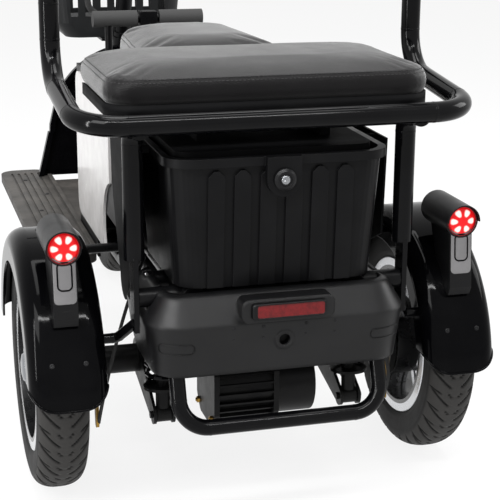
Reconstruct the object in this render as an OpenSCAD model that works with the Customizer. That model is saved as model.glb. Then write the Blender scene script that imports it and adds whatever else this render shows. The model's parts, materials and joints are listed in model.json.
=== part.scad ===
// Electric tricycle for a driver and one passenger, with a storage box under the rear bench.
// X is to the right, Y is forward and Z is up. Modules work from the rear axle at y = 0
// and the ground at z = 0; placed() moves them so that the origin is under the middle.

/* [Wheels] */
// Outer diameter of each tyre
tyre_d = 405; // [380:1:410]
// Width of each tyre
tyre_w = 84; // [76:1:88]
// Diameter over the rim flanges
rim_d = 280; // [272:1:288]
// Distance between the rear wheel centres
track = 656; // [646:1:676]
// Distance from the rear axle to the front axle
wheelbase = 1200; // [1190:1:1240]
// Number of spoke pairs in a wheel
spoke_pairs = 6; // [5:1:8]
// Radius of the rear stub axles
stub_r = 10; // [8:0.5:12]
// Radius of the front axle
front_axle_r = 6; // [5:0.5:8]

/* [Chassis] */
// Height of the foot boards
floor_z = 317; // [310:1:325]
// Thickness of the foot boards
board_t = 18; // [14:1:20]
// Distance from the middle to the outer edge of a foot board
board_out = 305; // [295:1:320]
// Width of a foot board
board_w = 108; // [96:1:112]
// Front end of the foot boards, ahead of the rear axle
board_front = 1000; // [960:1:1020]
// Radius of the chassis rails
rail_r = 19; // [16:0.5:21]
// Distance of each chassis rail from the middle
rail_x = 130; // [122:1:136]
// Height of the rails where they pass over the rear axle
rail_z = 376; // [370:1:380]
// Angle of the steering axis from the vertical
rake = 20; // [17:0.5:23]
// Radius of the steering column in the head tube
column_r = 15; // [13:0.5:17]

/* [Rear body] */
// Height of the storage box flange
box_top = 599; // [585:1:604]
// Half width of the storage box at its top
box_half = 170; // [160:1:176]
// Distance of the box's rear wall behind the axle, at its top
box_back = 256; // [250:1:258]
// Wall thickness of the storage box
box_wall = 4; // [3:0.5:6]
// Inward taper of the box walls from top to foot
box_taper = 12; // [6:1:18]
// Half width of the bumper
bumper_half = 209; // [202:1:215]
// Distance of the bumper's face behind the axle
bumper_back = 284; // [280:1:292]
// Wall thickness of the moulded bumper
bumper_wall = 3.5; // [2.5:0.5:5]
// Width of a rear fender
fender_w = 122; // [116:1:126]
// Gap between the rear tyre and the crown of its fender
fender_gap = 32; // [30:1:34]
// Wall thickness of a fender
fender_wall = 3.5; // [2.5:0.5:5]
// Radius of a tail lamp's housing
lamp_r = 28; // [26:1:30]

/* [Seats] */
// Height of the underside of the rear cushion
seat_z = 671; // [668:1:676]
// Thickness of the rear cushion
seat_t = 56; // [50:1:60]
// Half width of the rear cushion
seat_half = 258; // [245:1:266]
// Front edge of the rear cushion, ahead of the axle
seat_front = 71; // [64:1:76]
// Half width of the front cushion at its rear
driver_half = 138; // [125:1:150]
// Thickness of the front cushion
driver_t = 76; // [66:1:80]
// Front edge of the front cushion, ahead of the axle
driver_front = 488; // [470:1:500]
// Radius of the seat rail's tube
seat_rail_r = 16; // [14:0.5:17]
// Distance from the side of the rear cushion out to the middle of the seat rail
rail_clear = 48; // [40:1:58]
// Height of the rail's crossing behind the passenger's back
back_rail_z = 890; // [870:1:930]

/* [Steering] */
// Distance along the steering axis from the front axle to the handlebar
bar_reach = 826; // [790:1:850]
// Half width of the handlebar
bar_half = 340; // [300:1:350]
// Radius of the handlebar's tube
bar_r = 11; // [10:0.5:12]
// Radius of the hand grips
grip_r = 17; // [15:0.5:19]
// Length of the hand grips
grip_l = 115; // [110:1:140]
// Half width of the basket at its rim
basket_half = 165; // [150:1:180]
// Height of the basket
basket_h = 190; // [160:1:220]
// Wall thickness of the basket
basket_wall = 4; // [3:0.5:5]

/* [Hidden] */
$fn = 64;
hull_fn = 32;
seat_gap = 0.3;
run_gap = 0.05;
clear = 6;
weld_gap = 0.5;
weld_half = 1.5;
weld_high = 0.25;

tyre_r = tyre_d / 2;
rim_r = rim_d / 2;
axle_z = tyre_r;
wheel_x = track / 2;
rear_reach = bumper_back + 22;
front_reach = wheelbase + tyre_r;
middle_y = (front_reach - rear_reach) / 2;

// Wheel sections
crown_r = tyre_w * 0.62;
sidewall_r = tyre_w * 0.72;
widest_r = (tyre_r + rim_r) / 2 - 6;
bead_r = rim_r - 7;
lip_half = tyre_w / 2 - 5;
lip_t = 4;
barrel_t = 15;
hub_r = 38;
spoke_t = 16;
spoke_spread = 8;
rear_hub_out = 26;
drum_r = 70;
drum_in = 54;
front_hub_half = 30;

// Rear axle and suspension
axle_tube_r = 24;
plate_r = 74;
plate_t = 8;
plate_x = wheel_x - drum_in - clear - plate_t;
arm_x = 90;
arm_r = 15;
pivot_y = 300;
cross_r = 15;
floor_under = floor_z - board_t;
cross_z = floor_under - cross_r - seat_gap;
tray_z = cross_z + 6;
pivot = [0, pivot_y, tray_z];
shock_x = 160;
shock_foot = [shock_x, -131, 150];
shock_top = [shock_x, -120, rail_z - 44];
shock_eye_r = 13;
shock_eye_w = 24;
shock_pin_r = 6;
shock_len = norm(shock_top - shock_foot);
shock_lean = -atan2(shock_top.y - shock_foot.y, shock_top.z - shock_foot.z);
spring_r = 25;
spring_wire = 4;
spring_turns = 6;
cup_r = spring_r + spring_wire + 2;
cup_t = 5;
damper_r = shock_eye_w / 2 - 0.5;
cup_low = shock_eye_r + 32;
cup_high = shock_len - shock_eye_r - 6 - cup_t;
motor_at = [-100, 182];
motor_r = 56;
motor_fin = 7;
motor_x0 = -81;
motor_x1 = 29;
case_w = 64;
bush_r = cross_r + 7;
bush_half = 18;

// Seat rail
seat_rail_x = seat_half + rail_clear;

// Chassis
rear_cross_y = -205;
shock_cross_y = -120;
tray_cross_y = 440;
front_cross_back = 295;
front_cross_y = wheelbase - front_cross_back;
pedestal_front = driver_front - 8;
mid_share = 28 / 85;
mid_cross_y = pedestal_front + (front_cross_y - pedestal_front) * mid_share;
post_x = 217;
tab_t = 8;
rail_bend = 90;
rail_end_y = -232;
rail_drop_y = 180;
rail_low_y = 322;
floor_rail_z = floor_under - rail_r - seat_gap;
stay_r = 8;
front_stay_y = 85;
rear_stay_z = rail_z - 40;
rear_stay_end = [-165, 300];
head_low = 285;
head_high = 445;
head_r = 24;
head_mid = (head_low + head_high) / 2;
neck_r = 22;

// Floor, pedestal and shield
board_in = board_out - board_w;
fender_r = tyre_r + fender_gap;
board_back = fender_r + 14;
shield_back = 270;
shield_y = wheelbase - shield_back;
shield_t = 5;
shield_arc_z = 420;
shield_arc_r = 195;
shield_foot = 224;
shield_slope = 0.25;
shield_roll = 12;
pedestal_half = 195;
pedestal_wall = 5;
pedestal_back = 46;
pedestal_top = 640;
pedestal_foot = tray_z + cross_r + seat_gap;
panel_t = 5;
cover_x = 195.7;
cover_t = 4;
cover_tail = [-22, 352];
cover_tail_r = 36;
cover_boss_y = [-130, -40];
cover_boss_r = 6;
battery = [136, 220, 230];

// Storage box, lid and hinge
box_foot = rail_z + rail_r + seat_gap;
box_front = 30;
flange_out = 7;
flange_t = 14;
box_corner = 40;
box_lean = atan(box_taper / (box_top - box_foot));
rib_half = 101;
rib_w = 26;
rib_out = 5;
rib_cut = 9;
ribs = 6;
lid_gap = 10;
lid_t = 14;
lid_drop = 8;
pan_t = 5;
pan_under = seat_z - seat_gap - pan_t;
hinge_y = 60;
hinge_z = pan_under - 10;
hinge_x = 120;
hinge_pin_r = 4;
knuckle_r = 8;
knuckle_w = 36;
ear_t = 5;

// Seat rail
rail_back = -268;
rail_low_z = 655;
rail_front_y = 9;
rail_front_z = 684;
rail_arm_z = back_rail_z - 22;
rail_turn = 70;
stub_z = pan_under - seat_gap - seat_rail_r;
seat_back = 228;
pad_half = 205;
pad_t = 52;
pad_z0 = back_rail_z - 58;
pad_z1 = back_rail_z + 112;

// Fender, lamp and bumper
fender_skirt = 54;
fender_round = 28;
fender_from = 11;
fender_to = 178;
fender_x = wheel_x - 5;
lip_round = 50;
lip_low = 10;
lamp_z = 461;
lamp_back = 200;
lamp_front = 95;
lens_r = lamp_r - 4;
hood_out = 9;
stand_w = 38;
stand_out = 12;
stand_from = 118;
stand_to = 147;
bumper_turn = 60;
bumper_low = 264;
bumper_edge = 346;
bumper_top = rail_z + rail_r - 4;
bumper_lean = 11;
shoulder_in = 24;
ledge_in = 36;
bumper_wing = 134;
wing_round = 40;
reflector = [112, 21];
reflector_z = 371;
reflector_frame = [146, 36];
guard_r = 12.5;
guard_half = 163;
guard_y = -281;
guard_z = 183;
guard_turn = 45;
guard_dir = unit([0, guard_y - rear_cross_y, guard_z - rail_z]);
bumper_hole_r = 9;
bumper_hole_z = 316;
bumper_boss_r = 15;
bumper_boss = 16.5;
bracket_x = 90;
bracket_z = 365;
bracket_y = -262.7;

// Steering
crown_s = 246;
crown_t = 30;
leg_r = 17;
leg_x = tyre_w / 2 + leg_r + 13;
front_fender_r = tyre_r + 20;
front_fender_half = leg_x - leg_r - 3;
front_fender_from = 38;
front_fender_to = 168;
stem_top = bar_reach - 18;
sleeve_r = column_r + 4;
clamp = [56, 42, 36];
bar_rise = 30;
bar_sweep = 85;
basket_back = 104;
basket_y = wheelbase - basket_back;
basket_z = 610;
basket_deep = 215;
basket_taper = 16;
grab_back = 186;
grab_y = shield_y - grab_back;
grab_z = 693;
grab_half = 119;
grab_leg_x = 85;
grab_r = 10;
grab_foot_z = 545;

// Helpers
function unit(v) = v / norm(v);

// Angle by which a path turns at point i, and the length a bend there takes off each leg
function turn_at(p, i) = acos(unit(p[i] - p[i - 1]) * unit(p[i + 1] - p[i]));
function cut_at(p, i, bend) =
    i == 0 || i == len(p) - 1 ? 0 : bend * tan(turn_at(p, i) / 2);

// Shapes drawn in the side view, y across and z up, and pulled along X
module across() rotate([90, 0, 90]) children();

// Shapes drawn in the rear view, x across and z up, and pulled towards the rear
module rearward() rotate([90, 0, 0]) children();

module both_sides() {
    children();
    mirror([1, 0, 0]) children();
}

module placed() translate([0, -middle_y, 0]) children();

// Steering frame: the axis is local Z and the front axle is the origin
module steered() translate([0, wheelbase, axle_z]) rotate([rake, 0, 0]) children();

module on_side(side) {
    if (side > 0) children();
    else mirror([1, 0, 0]) children();
}

module rod(a, b, r) {
    d = b - a;
    translate(a)
        rotate([0, acos(d.z / norm(d)), atan2(d.y, d.x)])
            cylinder(h = norm(d), r = r);
}

// Tube along a path of points, with round bends of one radius and a thin collar at each weld
module bent_tube(p, r, bend, closed = false) {
    last = len(p) - 1;
    for (i = [0 : last - 1]) {
        d = unit(p[i + 1] - p[i]);
        start = p[i] + d * cut_at(p, i, bend);
        stop = p[i + 1] - d * cut_at(p, i + 1, bend);
        first_free = i == 0 && !closed;
        last_free = i == last - 1 && !closed;
        rod(start + d * (first_free ? 0 : weld_gap), stop - d * (last_free ? 0 : weld_gap), r);
        if (!first_free) weld_collar(start, d, r);
        if (!last_free && i < last - 1) weld_collar(stop, d, r);
    }
    for (i = [1 : last - 1]) {
        u = unit(p[i] - p[i - 1]);
        w = unit(p[i + 1] - p[i]);
        n = unit(w - u * (u * w));
        k = cross(-n, u);
        c = p[i] - u * cut_at(p, i, bend) + n * bend;
        multmatrix([
            [-n.x, u.x, k.x, c.x],
            [-n.y, u.y, k.y, c.y],
            [-n.z, u.z, k.z, c.z],
            [0, 0, 0, 1]
        ])
            rotate_extrude(angle = turn_at(p, i))
                translate([bend, 0])
                    circle(r);
    }
}

module weld_collar(at, d, r) rod(at - d * weld_half, at + d * weld_half, r + weld_high);

module rounded_rect(x0, x1, y0, y1, r) {
    translate([x0 + r, y0]) square([x1 - x0 - 2 * r, y1 - y0]);
    translate([x0, y0 + r]) square([x1 - x0, y1 - y0 - 2 * r]);
    for (x = [x0 + r, x1 - r], y = [y0 + r, y1 - r])
        translate([x, y]) circle(r);
}

module rounded_block(x0, x1, y0, y1, z0, z1, r)
    translate([0, 0, z0])
        linear_extrude(z1 - z0)
            rounded_rect(x0, x1, y0, y1, r);

// Wheels, each about its own centre with the axle along X and the outer face at +X
module tyre_shape()
    across()
        rotate_extrude()
            difference() {
                intersection() {
                    translate([tyre_r - crown_r, 0]) circle(crown_r);
                    for (s = [-1, 1])
                        translate([widest_r, s * (sidewall_r - tyre_w / 2)]) circle(sidewall_r);
                    translate([bead_r + seat_gap, -tyre_w / 2]) square([tyre_r, tyre_w]);
                }
                // Seats of the two rim flanges
                for (s = [0, 1])
                    mirror([0, s])
                        translate([0, lip_half - lip_t - seat_gap])
                            square([rim_r + seat_gap, tyre_w]);
            }

// Rim: a barrel between two flanges with broken edges
module rim_shape() {
    edge = 1.5;
    half = [
        [bead_r, lip_half - lip_t],
        [rim_r - edge, lip_half - lip_t],
        [rim_r, lip_half - lip_t + edge],
        [rim_r, lip_half - edge],
        [rim_r - edge, lip_half],
        [bead_r - barrel_t, lip_half]
    ];
    other = [for (i = [len(half) - 1 : -1 : 0]) [half[i].x, -half[i].y]];
    across() rotate_extrude() polygon(concat(half, other));
}

module spokes() {
    reach = bead_r - barrel_t + 3;
    root = hub_r - 6;
    across()
        translate([0, 0, -spoke_t / 2])
            linear_extrude(spoke_t)
                for (i = [0 : spoke_pairs - 1], s = [-1, 1])
                    rotate(i * 360 / spoke_pairs + s * spoke_spread)
                        polygon([[root, -7], [reach, -4.5], [reach, 4.5], [root, 7]]);
}

module rear_wheel_shape()
    difference() {
        union() {
            rim_shape();
            spokes();
            across() translate([0, 0, -drum_in]) cylinder(h = drum_in + rear_hub_out, r = hub_r);
            across() translate([0, 0, -drum_in]) cylinder(h = drum_in - 14, r = drum_r);
            across() translate([0, 0, rear_hub_out - 2]) cylinder(h = 10, r = stub_r + 8);
        }
        across()
            translate([0, 0, -drum_in - 1])
                cylinder(h = drum_in + rear_hub_out + 1, r = stub_r + run_gap);
    }

module tyre_rear(side)
    color("#1c1c1e")
        translate([side * wheel_x, 0, axle_z])
            tyre_shape();

module wheel_rear(side)
    color("#b9bcc0")
        translate([side * wheel_x, 0, axle_z])
            on_side(side)
                rear_wheel_shape();

module tyre_front()
    color("#1c1c1e")
        translate([0, wheelbase, axle_z])
            tyre_shape();

module wheel_front()
    color("#b9bcc0")
        translate([0, wheelbase, axle_z])
            difference() {
                union() {
                    rim_shape();
                    spokes();
                    across()
                        translate([0, 0, -front_hub_half])
                            cylinder(h = 2 * front_hub_half, r = hub_r);
                }
                across()
                    translate([0, 0, -front_hub_half - 1])
                        cylinder(h = 2 * front_hub_half + 2, r = front_axle_r + run_gap);
            }

// Chassis of bent tubes with the head tube at the front
module main_frame()
    color("#151516") {
        rails = [
            [rail_x, rail_end_y, rail_z],
            [rail_x, rail_drop_y, rail_z],
            [rail_x, rail_low_y, floor_rail_z],
            [rail_x, front_cross_y + cross_r, floor_rail_z]
        ];
        // Cross members: y, z, half length
        members = [
            [rear_cross_y, rail_z, post_x - tab_t / 2],
            [shock_cross_y, rail_z, shock_x + 20],
            [pivot_y, tray_z, rail_x],
            [tray_cross_y, tray_z, pedestal_half],
            [mid_cross_y, cross_z, board_out - 20],
            [front_cross_y, cross_z, board_out - 20]
        ];
        both_sides() bent_tube(rails, rail_r, rail_bend);
        for (m = members)
            rod([-m[2], m[0], m[1]], [m[2], m[0], m[1]], cross_r);
        // Hangers for the tops of the shock absorbers
        both_sides()
            for (s = [-1, 1])
                translate([shock_x + s * (shock_eye_w / 2 + 3.5) - 2.5, 0, 0])
                    across()
                        linear_extrude(5) {
                            translate([shock_top.y, shock_top.z]) circle(shock_eye_r);
                            translate([shock_top.y - shock_eye_r, shock_top.z])
                                square([2 * shock_eye_r, rail_z - shock_top.z]);
                        }
        both_sides()
            rod(
                shock_top - [shock_eye_w / 2 + 4, 0, 0],
                shock_top + [shock_eye_w / 2 + 4, 0, 0],
                shock_pin_r
            );
        // Fender stays and bumper brackets
        both_sides() {
            rod(
                [rail_x, front_stay_y, rail_z],
                [fender_x - fender_w / 2 - seat_gap, front_stay_y, rail_z],
                stay_r
            );
            rod([bracket_x, rear_cross_y, bracket_z], [bracket_x, bracket_y, bracket_z], stay_r);
        }
        // Neck and head tube
        difference() {
            union() {
                rod([0, front_cross_y, cross_z], neck_end(), neck_r);
                steered()
                    translate([0, 0, head_low])
                        cylinder(h = head_high - head_low, r = head_r);
                carrier();
            }
            steered()
                translate([0, 0, head_low - 60])
                    cylinder(h = head_high - head_low + 120, r = column_r + run_gap);
        }
        // Bracket that holds the leg shield and the grab bar
        tie_y = shield_y + shield_t + seat_gap + stay_r;
        rod([-grab_leg_x - 10, tie_y, grab_foot_z], [grab_leg_x + 10, tie_y, grab_foot_z], stay_r);
        both_sides()
            rod([grab_leg_x - 20, tie_y, grab_foot_z], neck_end() - [0, 18, 40], stay_r);
    }

function neck_end() =
    [0, wheelbase - head_mid * sin(rake), axle_z + head_mid * cos(rake)];

// Shelf under the basket, welded to the front of the head tube
module carrier() {
    top_s = (basket_z - 6 - axle_z) / cos(rake);
    start_y = wheelbase - top_s * sin(rake) + column_r / cos(rake) + 2;
    translate([-45, start_y, basket_z - seat_gap - 6]) cube([90, basket_y + basket_deep - 40 - start_y, 6]);
    translate([-3, start_y, basket_z - seat_gap - 46])
        across()
            linear_extrude(6)
                polygon([[14, 0], [130, 40.5], [0, 40.5]]);
}

// Rear axle with its trailing arms, drum plates and gear case
module rear_axle()
    color("#1a1a1b") {
        difference() {
            union() {
                rod([-plate_x, 0, axle_z], [plate_x, 0, axle_z], axle_tube_r);
                both_sides() {
                    rod([plate_x - 1, 0, axle_z], [plate_x + plate_t, 0, axle_z], plate_r);
                    rod([plate_x, 0, axle_z], [wheel_x + rear_hub_out - 4, 0, axle_z], stub_r);
                    rod([arm_x, 0, axle_z], [arm_x, pivot.y, pivot.z], arm_r);
                    rod(
                        [arm_x - bush_half, pivot.y, pivot.z],
                        [arm_x + bush_half, pivot.y, pivot.z],
                        bush_r
                    );
                    shock_feet();
                }
                gear_case();
            }
            both_sides()
                rod(
                    [arm_x - bush_half - 1, pivot.y, pivot.z],
                    [arm_x + bush_half + 1, pivot.y, pivot.z],
                    cross_r + seat_gap
                );
        }
    }

// Two cheeks on each side that carry the foot of a shock absorber on a pin
module shock_feet() {
    for (s = [-1, 1])
        translate([shock_x + s * (shock_eye_w / 2 + 3.5) - 2.5, 0, 0])
            across()
                linear_extrude(5) {
                    translate([0, axle_z]) circle(axle_tube_r + 10);
                    translate([shock_foot.y, shock_foot.z]) circle(16);
                    polygon([
                        [shock_foot.y - 4, shock_foot.z - 15],
                        [8, axle_z - 32],
                        [-6, axle_z + 33],
                        [shock_foot.y - 6, shock_foot.z + 15]
                    ]);
                }
    rod(
        shock_foot - [shock_eye_w / 2 + 10, 0, 0],
        shock_foot + [shock_eye_w / 2 + 10, 0, 0],
        shock_pin_r
    );
}

module gear_case()
    translate([motor_x1 + seat_gap, 0, 0])
        across()
            linear_extrude(case_w) {
                translate([0, axle_z]) circle(62);
                translate(motor_at) circle(58);
                polygon([
                    [0, axle_z + 62],
                    [motor_at.x, motor_at.y + 58],
                    [motor_at.x, motor_at.y - 58],
                    [0, axle_z - 62]
                ]);
            }

// Drive motor: a finned housing between two squared end plates
module motor()
    color("#1d1d1f") {
        plate = 9;
        across()
            translate([motor_at.x, motor_at.y, motor_x0]) {
                translate([0, 0, plate])
                    linear_extrude(motor_x1 - motor_x0 - 2 * plate) {
                        circle(motor_r);
                        for (a = [0 : 15 : 345])
                            rotate(a) translate([motor_r - 2, -1.6]) square([motor_fin + 2, 3.2]);
                    }
                for (z = [0, motor_x1 - motor_x0 - plate])
                    translate([0, 0, z])
                        linear_extrude(plate)
                            intersection() {
                                circle(motor_r + 14);
                                square(2 * (motor_r + 5), center = true);
                            }
            }
    }

// Shock absorbers, drawn along local Z from the lower eye
module at_shock() translate(shock_foot) rotate([shock_lean, 0, 0]) children();

module shock_dampers()
    color("#2a2a2c")
        both_sides()
            at_shock()
                difference() {
                    union() {
                        for (z = [0, shock_len])
                            translate([-shock_eye_w / 2, 0, z])
                                rotate([0, 90, 0])
                                    cylinder(h = shock_eye_w, r = shock_eye_r);
                        translate([0, 0, shock_eye_r - 2]) cylinder(h = shock_len * 0.55, r = damper_r);
                        translate([0, 0, shock_len * 0.5])
                            cylinder(h = shock_len * 0.5 - shock_eye_r + 2, r = 7);
                        for (z = [cup_low, cup_high])
                            translate([0, 0, z]) cylinder(h = cup_t, r = cup_r);
                    }
                    for (z = [0, shock_len])
                        translate([-shock_eye_w, 0, z])
                            rotate([0, 90, 0])
                                cylinder(h = 2 * shock_eye_w, r = shock_pin_r + run_gap);
                }

// Coil spring: rings of points along a helix, joined into one tube
module shock_springs()
    color("#111112") {
        sides = 8;
        per_turn = 14;
        steps = spring_turns * per_turn;
        low = cup_low + cup_t + spring_wire + seat_gap;
        high = cup_high - spring_wire - seat_gap;
        rings = [
            for (i = [0 : steps])
                let (a = i * 360 / per_turn, z = low + (high - low) * i / steps)
                    for (j = [0 : sides - 1])
                        let (b = j * 360 / sides, r = spring_r + spring_wire * cos(b))
                            [r * cos(a), r * sin(a), z + spring_wire * sin(b)]
        ];
        last = steps * sides;
        walls = [
            for (i = [0 : steps - 1], j = [0 : sides - 1])
                let (k = (j + 1) % sides)
                    [i * sides + j, i * sides + k, (i + 1) * sides + k, (i + 1) * sides + j]
        ];
        caps = [
            [for (j = [sides - 1 : -1 : 0]) j],
            [for (j = [0 : sides - 1]) last + j]
        ];
        both_sides()
            at_shock()
                polyhedron(points = rings, faces = concat(walls, caps));
    }

// Cable levers on the drum plates
module brake_arms()
    color("#b58a3c")
        both_sides()
            translate([plate_x - 6 - seat_gap, 0, axle_z])
                across()
                    linear_extrude(5) {
                        translate([-46, -34]) circle(11);
                        translate([-52, -92]) circle(7);
                        polygon([[-57, -34], [-59, -92], [-45, -92], [-35, -34]]);
                    }

// Tube loop below the bumper, hung from the rear cross member
module rear_guard()
    color("#0f0f10") {
        hang = [guard_half, rear_cross_y, rail_z] + guard_dir * (cross_r + seat_gap);
        bent_tube(
            [
                [-hang.x, hang.y, hang.z],
                [-guard_half, guard_y, guard_z],
                [guard_half, guard_y, guard_z],
                hang
            ],
            guard_r,
            guard_turn
        );
    }

// Bumper section: outer line up the face, shoulder and ledge, then back inside the wall
module bumper_section() {
    t = bumper_wall;
    translate([bumper_turn, 0])
        polygon([
            [-bumper_lean, bumper_low],
            [0, bumper_edge],
            [-shoulder_in, bumper_top - 5],
            [-ledge_in, bumper_top],
            [-ledge_in, bumper_top - t],
            [-shoulder_in - t * 0.7, bumper_top - 5 - t],
            [-t * 1.4, bumper_edge - t * 0.4],
            [-bumper_lean - t, bumper_low]
        ]);
}

module bumper()
    color("#29292b") {
        turn_x = bumper_half - bumper_turn;
        turn_y = -bumper_back + bumper_turn;
        difference() {
            union() {
                translate([turn_x, turn_y, 0])
                    rotate([90, 0, -90])
                        linear_extrude(2 * turn_x)
                            bumper_section();
                both_sides()
                    translate([turn_x, turn_y, 0])
                        rotate([0, 0, 270])
                            rotate_extrude(angle = 90)
                                bumper_section();
                // Wings that run forward beside the box
                both_sides()
                    translate([turn_x, turn_y + bumper_wing, 0])
                        rearward()
                            linear_extrude(bumper_wing)
                                bumper_section();
                reflector_housing();
                // Boss round the centre hole
                translate([0, -bumper_back + 1.5 + bumper_boss, bumper_hole_z])
                    rearward()
                        cylinder(h = bumper_boss, r = bumper_boss_r);
            }
            // Centre hole and the two oblong recesses
            translate([0, -bumper_back + 40, bumper_hole_z])
                rearward()
                    cylinder(h = 60, r = bumper_hole_r);
            both_sides()
                translate([0, -bumper_back + 4, 0])
                    rearward()
                        linear_extrude(20)
                            rounded_rect(118, 196, 303, 317, 6.9);
            // Slots for the cross members, and the rounded lower ends of the wings
            both_sides() {
                for (y = [rear_cross_y, shock_cross_y])
                    rod(
                        [bumper_half - ledge_in - 10, y, rail_z],
                        [y == rear_cross_y ? bumper_half + 10 : shock_x + 24, y, rail_z],
                        cross_r + 2
                    );
                translate([bumper_half - 40, turn_y + bumper_wing - wing_round, bumper_low + wing_round])
                    across()
                        linear_extrude(60)
                            difference() {
                                translate([0, -wing_round - 1]) square(wing_round + 1);
                                circle(wing_round);
                            }
            }
        }
    }

module reflector_housing()
    translate([0, -bumper_back + 14, 0])
        rearward()
            difference() {
                linear_extrude(rear_reach - bumper_back + 10)
                    rounded_rect(
                        -reflector_frame.x / 2,
                        reflector_frame.x / 2,
                        reflector_z - reflector_frame.y / 2,
                        reflector_z + reflector_frame.y / 2,
                        11
                    );
                translate([0, 0, rear_reach - bumper_back + 2])
                    linear_extrude(20)
                        rounded_rect(
                            -reflector.x / 2 - seat_gap,
                            reflector.x / 2 + seat_gap,
                            reflector_z - reflector.y / 2 - seat_gap,
                            reflector_z + reflector.y / 2 + seat_gap,
                            3
                        );
            }

module reflector()
    color("#b01818")
        translate([0, -rear_reach + 12 - seat_gap, 0])
            rearward()
                linear_extrude(12 - seat_gap)
                    rounded_rect(
                        -reflector.x / 2,
                        reflector.x / 2,
                        reflector_z - reflector.y / 2,
                        reflector_z + reflector.y / 2,
                        3
                    );

// Fender section: a channel with rounded shoulders, open towards the tyre
module fender_channel(half, top, skirt, r) {
    translate([top - skirt, -half]) square([skirt - r, 2 * half]);
    translate([top - skirt, -half + r]) square([skirt, 2 * (half - r)]);
    for (s = [-1, 1])
        translate([top - r, s * (half - r)]) circle(r);
}

module fender(side)
    color("#0d0d0e")
        translate([side * fender_x, 0, axle_z])
            difference() {
                across()
                    rotate(fender_from)
                        rotate_extrude(angle = fender_to - fender_from)
                            difference() {
                                fender_channel(fender_w / 2, fender_r, fender_skirt, fender_round);
                                fender_channel(
                                    fender_w / 2 - fender_wall,
                                    fender_r - fender_wall,
                                    fender_skirt + 10,
                                    fender_round - fender_wall
                                );
                            }
                // Round the two corners of the rear lip
                for (s = [-1, 1])
                    translate([s * (fender_w / 2 - lip_round + 5), 0, lip_low + lip_round])
                        rearward()
                            linear_extrude(fender_r + 20)
                                difference() {
                                    translate([s > 0 ? 0 : -lip_round - 10, -lip_round - 30])
                                        square([lip_round + 10, lip_round + 30]);
                                    circle(lip_round);
                                }
            }

module fender_left() fender(-1);
module fender_right() fender(1);

// Stand of a tail lamp: a block that rises from the fender's crown to the lamp, with an oblong groove
module lamp_stand() {
    low_y = (fender_r + stand_out) * cos(stand_to);
    low_z = axle_z + (fender_r + stand_out) * sin(stand_to);
    face_y = -lamp_back + 4;
    difference() {
        translate([-stand_w / 2, 0, 0])
            across()
                linear_extrude(stand_w)
                    polygon([
                        [face_y, lamp_z],
                        [low_y, low_z + 14],
                        [low_y + 6, low_z],
                        [fender_r * cos(stand_to) + 30, low_z - 6],
                        [fender_r * cos(stand_from), lamp_z]
                    ]);
        translate([0, low_y + 1.5, 0])
            rearward()
                linear_extrude(30)
                    difference() {
                        rounded_rect(-10, 10, low_z + 26, low_z + 66, 8);
                        rounded_rect(-8, 8, low_z + 28, low_z + 64, 6);
                    }
    }
}

// Round tail lamp: a hooded can on its stand
module lamp(side)
    color("#101011")
        difference() {
            union() {
                translate([side * fender_x, 0, lamp_z])
                    rearward() {
                        translate([0, 0, lamp_front])
                            cylinder(h = lamp_back - lamp_front, r = lamp_r);
                        translate([0, 0, lamp_back])
                            difference() {
                                cylinder(h = hood_out, r = lamp_r);
                                translate([0, 0, -1]) cylinder(h = hood_out + 2, r = lens_r + 2);
                                translate([-lamp_r - 1, -lamp_r - 1, -1])
                                    cube([2 * lamp_r + 2, lamp_r + 1, hood_out + 2]);
                            }
                    }
                translate([side * fender_x, 0, 0]) lamp_stand();
            }
            translate([side * fender_x, 0, lamp_z])
                rearward()
                    translate([0, 0, lamp_back - 8])
                        cylinder(h = 40, r = lens_r + seat_gap);
            translate([side * fender_x - fender_w / 2, 0, axle_z])
                across()
                    cylinder(h = fender_w, r = fender_r + seat_gap);
        }

module lamp_left() lamp(-1);
module lamp_right() lamp(1);

module lens(side)
    color("#c41a1a")
        translate([side * fender_x, 0, lamp_z])
            rearward()
                translate([0, 0, lamp_back - 8 + seat_gap])
                    rotate_extrude()
                        polygon([[0, 0], [lens_r, 0], [lens_r, 9], [lens_r - 5, 13], [0, 15]]);

module lens_left() lens(-1);
module lens_right() lens(1);

// Foot boards with lengthwise grooves and a raised inner edge
module foot_board(side)
    color("#343436")
        on_side(side)
            difference() {
                union() {
                    rounded_block(
                        board_in, board_out, board_back, board_front, floor_under, floor_z, 36
                    );
                    translate([board_in, board_back + 40, floor_z - 1])
                        cube([9, shield_y - 65 - board_back, 10]);
                }
                grooves = 5;
                for (i = [1 : grooves])
                    translate([
                        board_in + 9 + i * (board_w - 18) / (grooves + 1) - 2.5,
                        board_back + 30,
                        floor_z - 3
                    ])
                        cube([5, board_front - board_back - 66, 4]);
            }

module foot_board_left() foot_board(-1);
module foot_board_right() foot_board(1);

// Step-through floor between the seat pedestal and the leg shield
module floor_plate()
    color("#2b2b2d")
        difference() {
            translate([-board_in + seat_gap, pedestal_front + 2, floor_under])
                cube([
                    2 * (board_in - seat_gap),
                    shield_y - 52 - pedestal_front - 2,
                    board_t
                ]);
            ribs = 9;
            for (i = [0 : ribs - 1])
                translate([-140 + i * 280 / (ribs - 1) - 3, pedestal_front + 30, floor_z - 3])
                    cube([6, shield_y - pedestal_front - 120, 4]);
        }

// Leg shield outline: straight flanks that lean in and a round top
module shield_outline(inset) {
    foot = floor_z + seat_gap;
    top = shield_arc_z + shield_arc_r;
    intersection() {
        union() {
            translate([0, shield_arc_z]) circle(shield_arc_r - inset);
            translate([-shield_foot, foot]) square([2 * shield_foot, shield_arc_z - foot]);
        }
        polygon([
            [-shield_foot + inset, foot],
            [shield_foot - inset, foot],
            [shield_foot - inset - shield_slope * (top - foot), top],
            [-shield_foot + inset + shield_slope * (top - foot), top]
        ]);
    }
}

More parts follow.
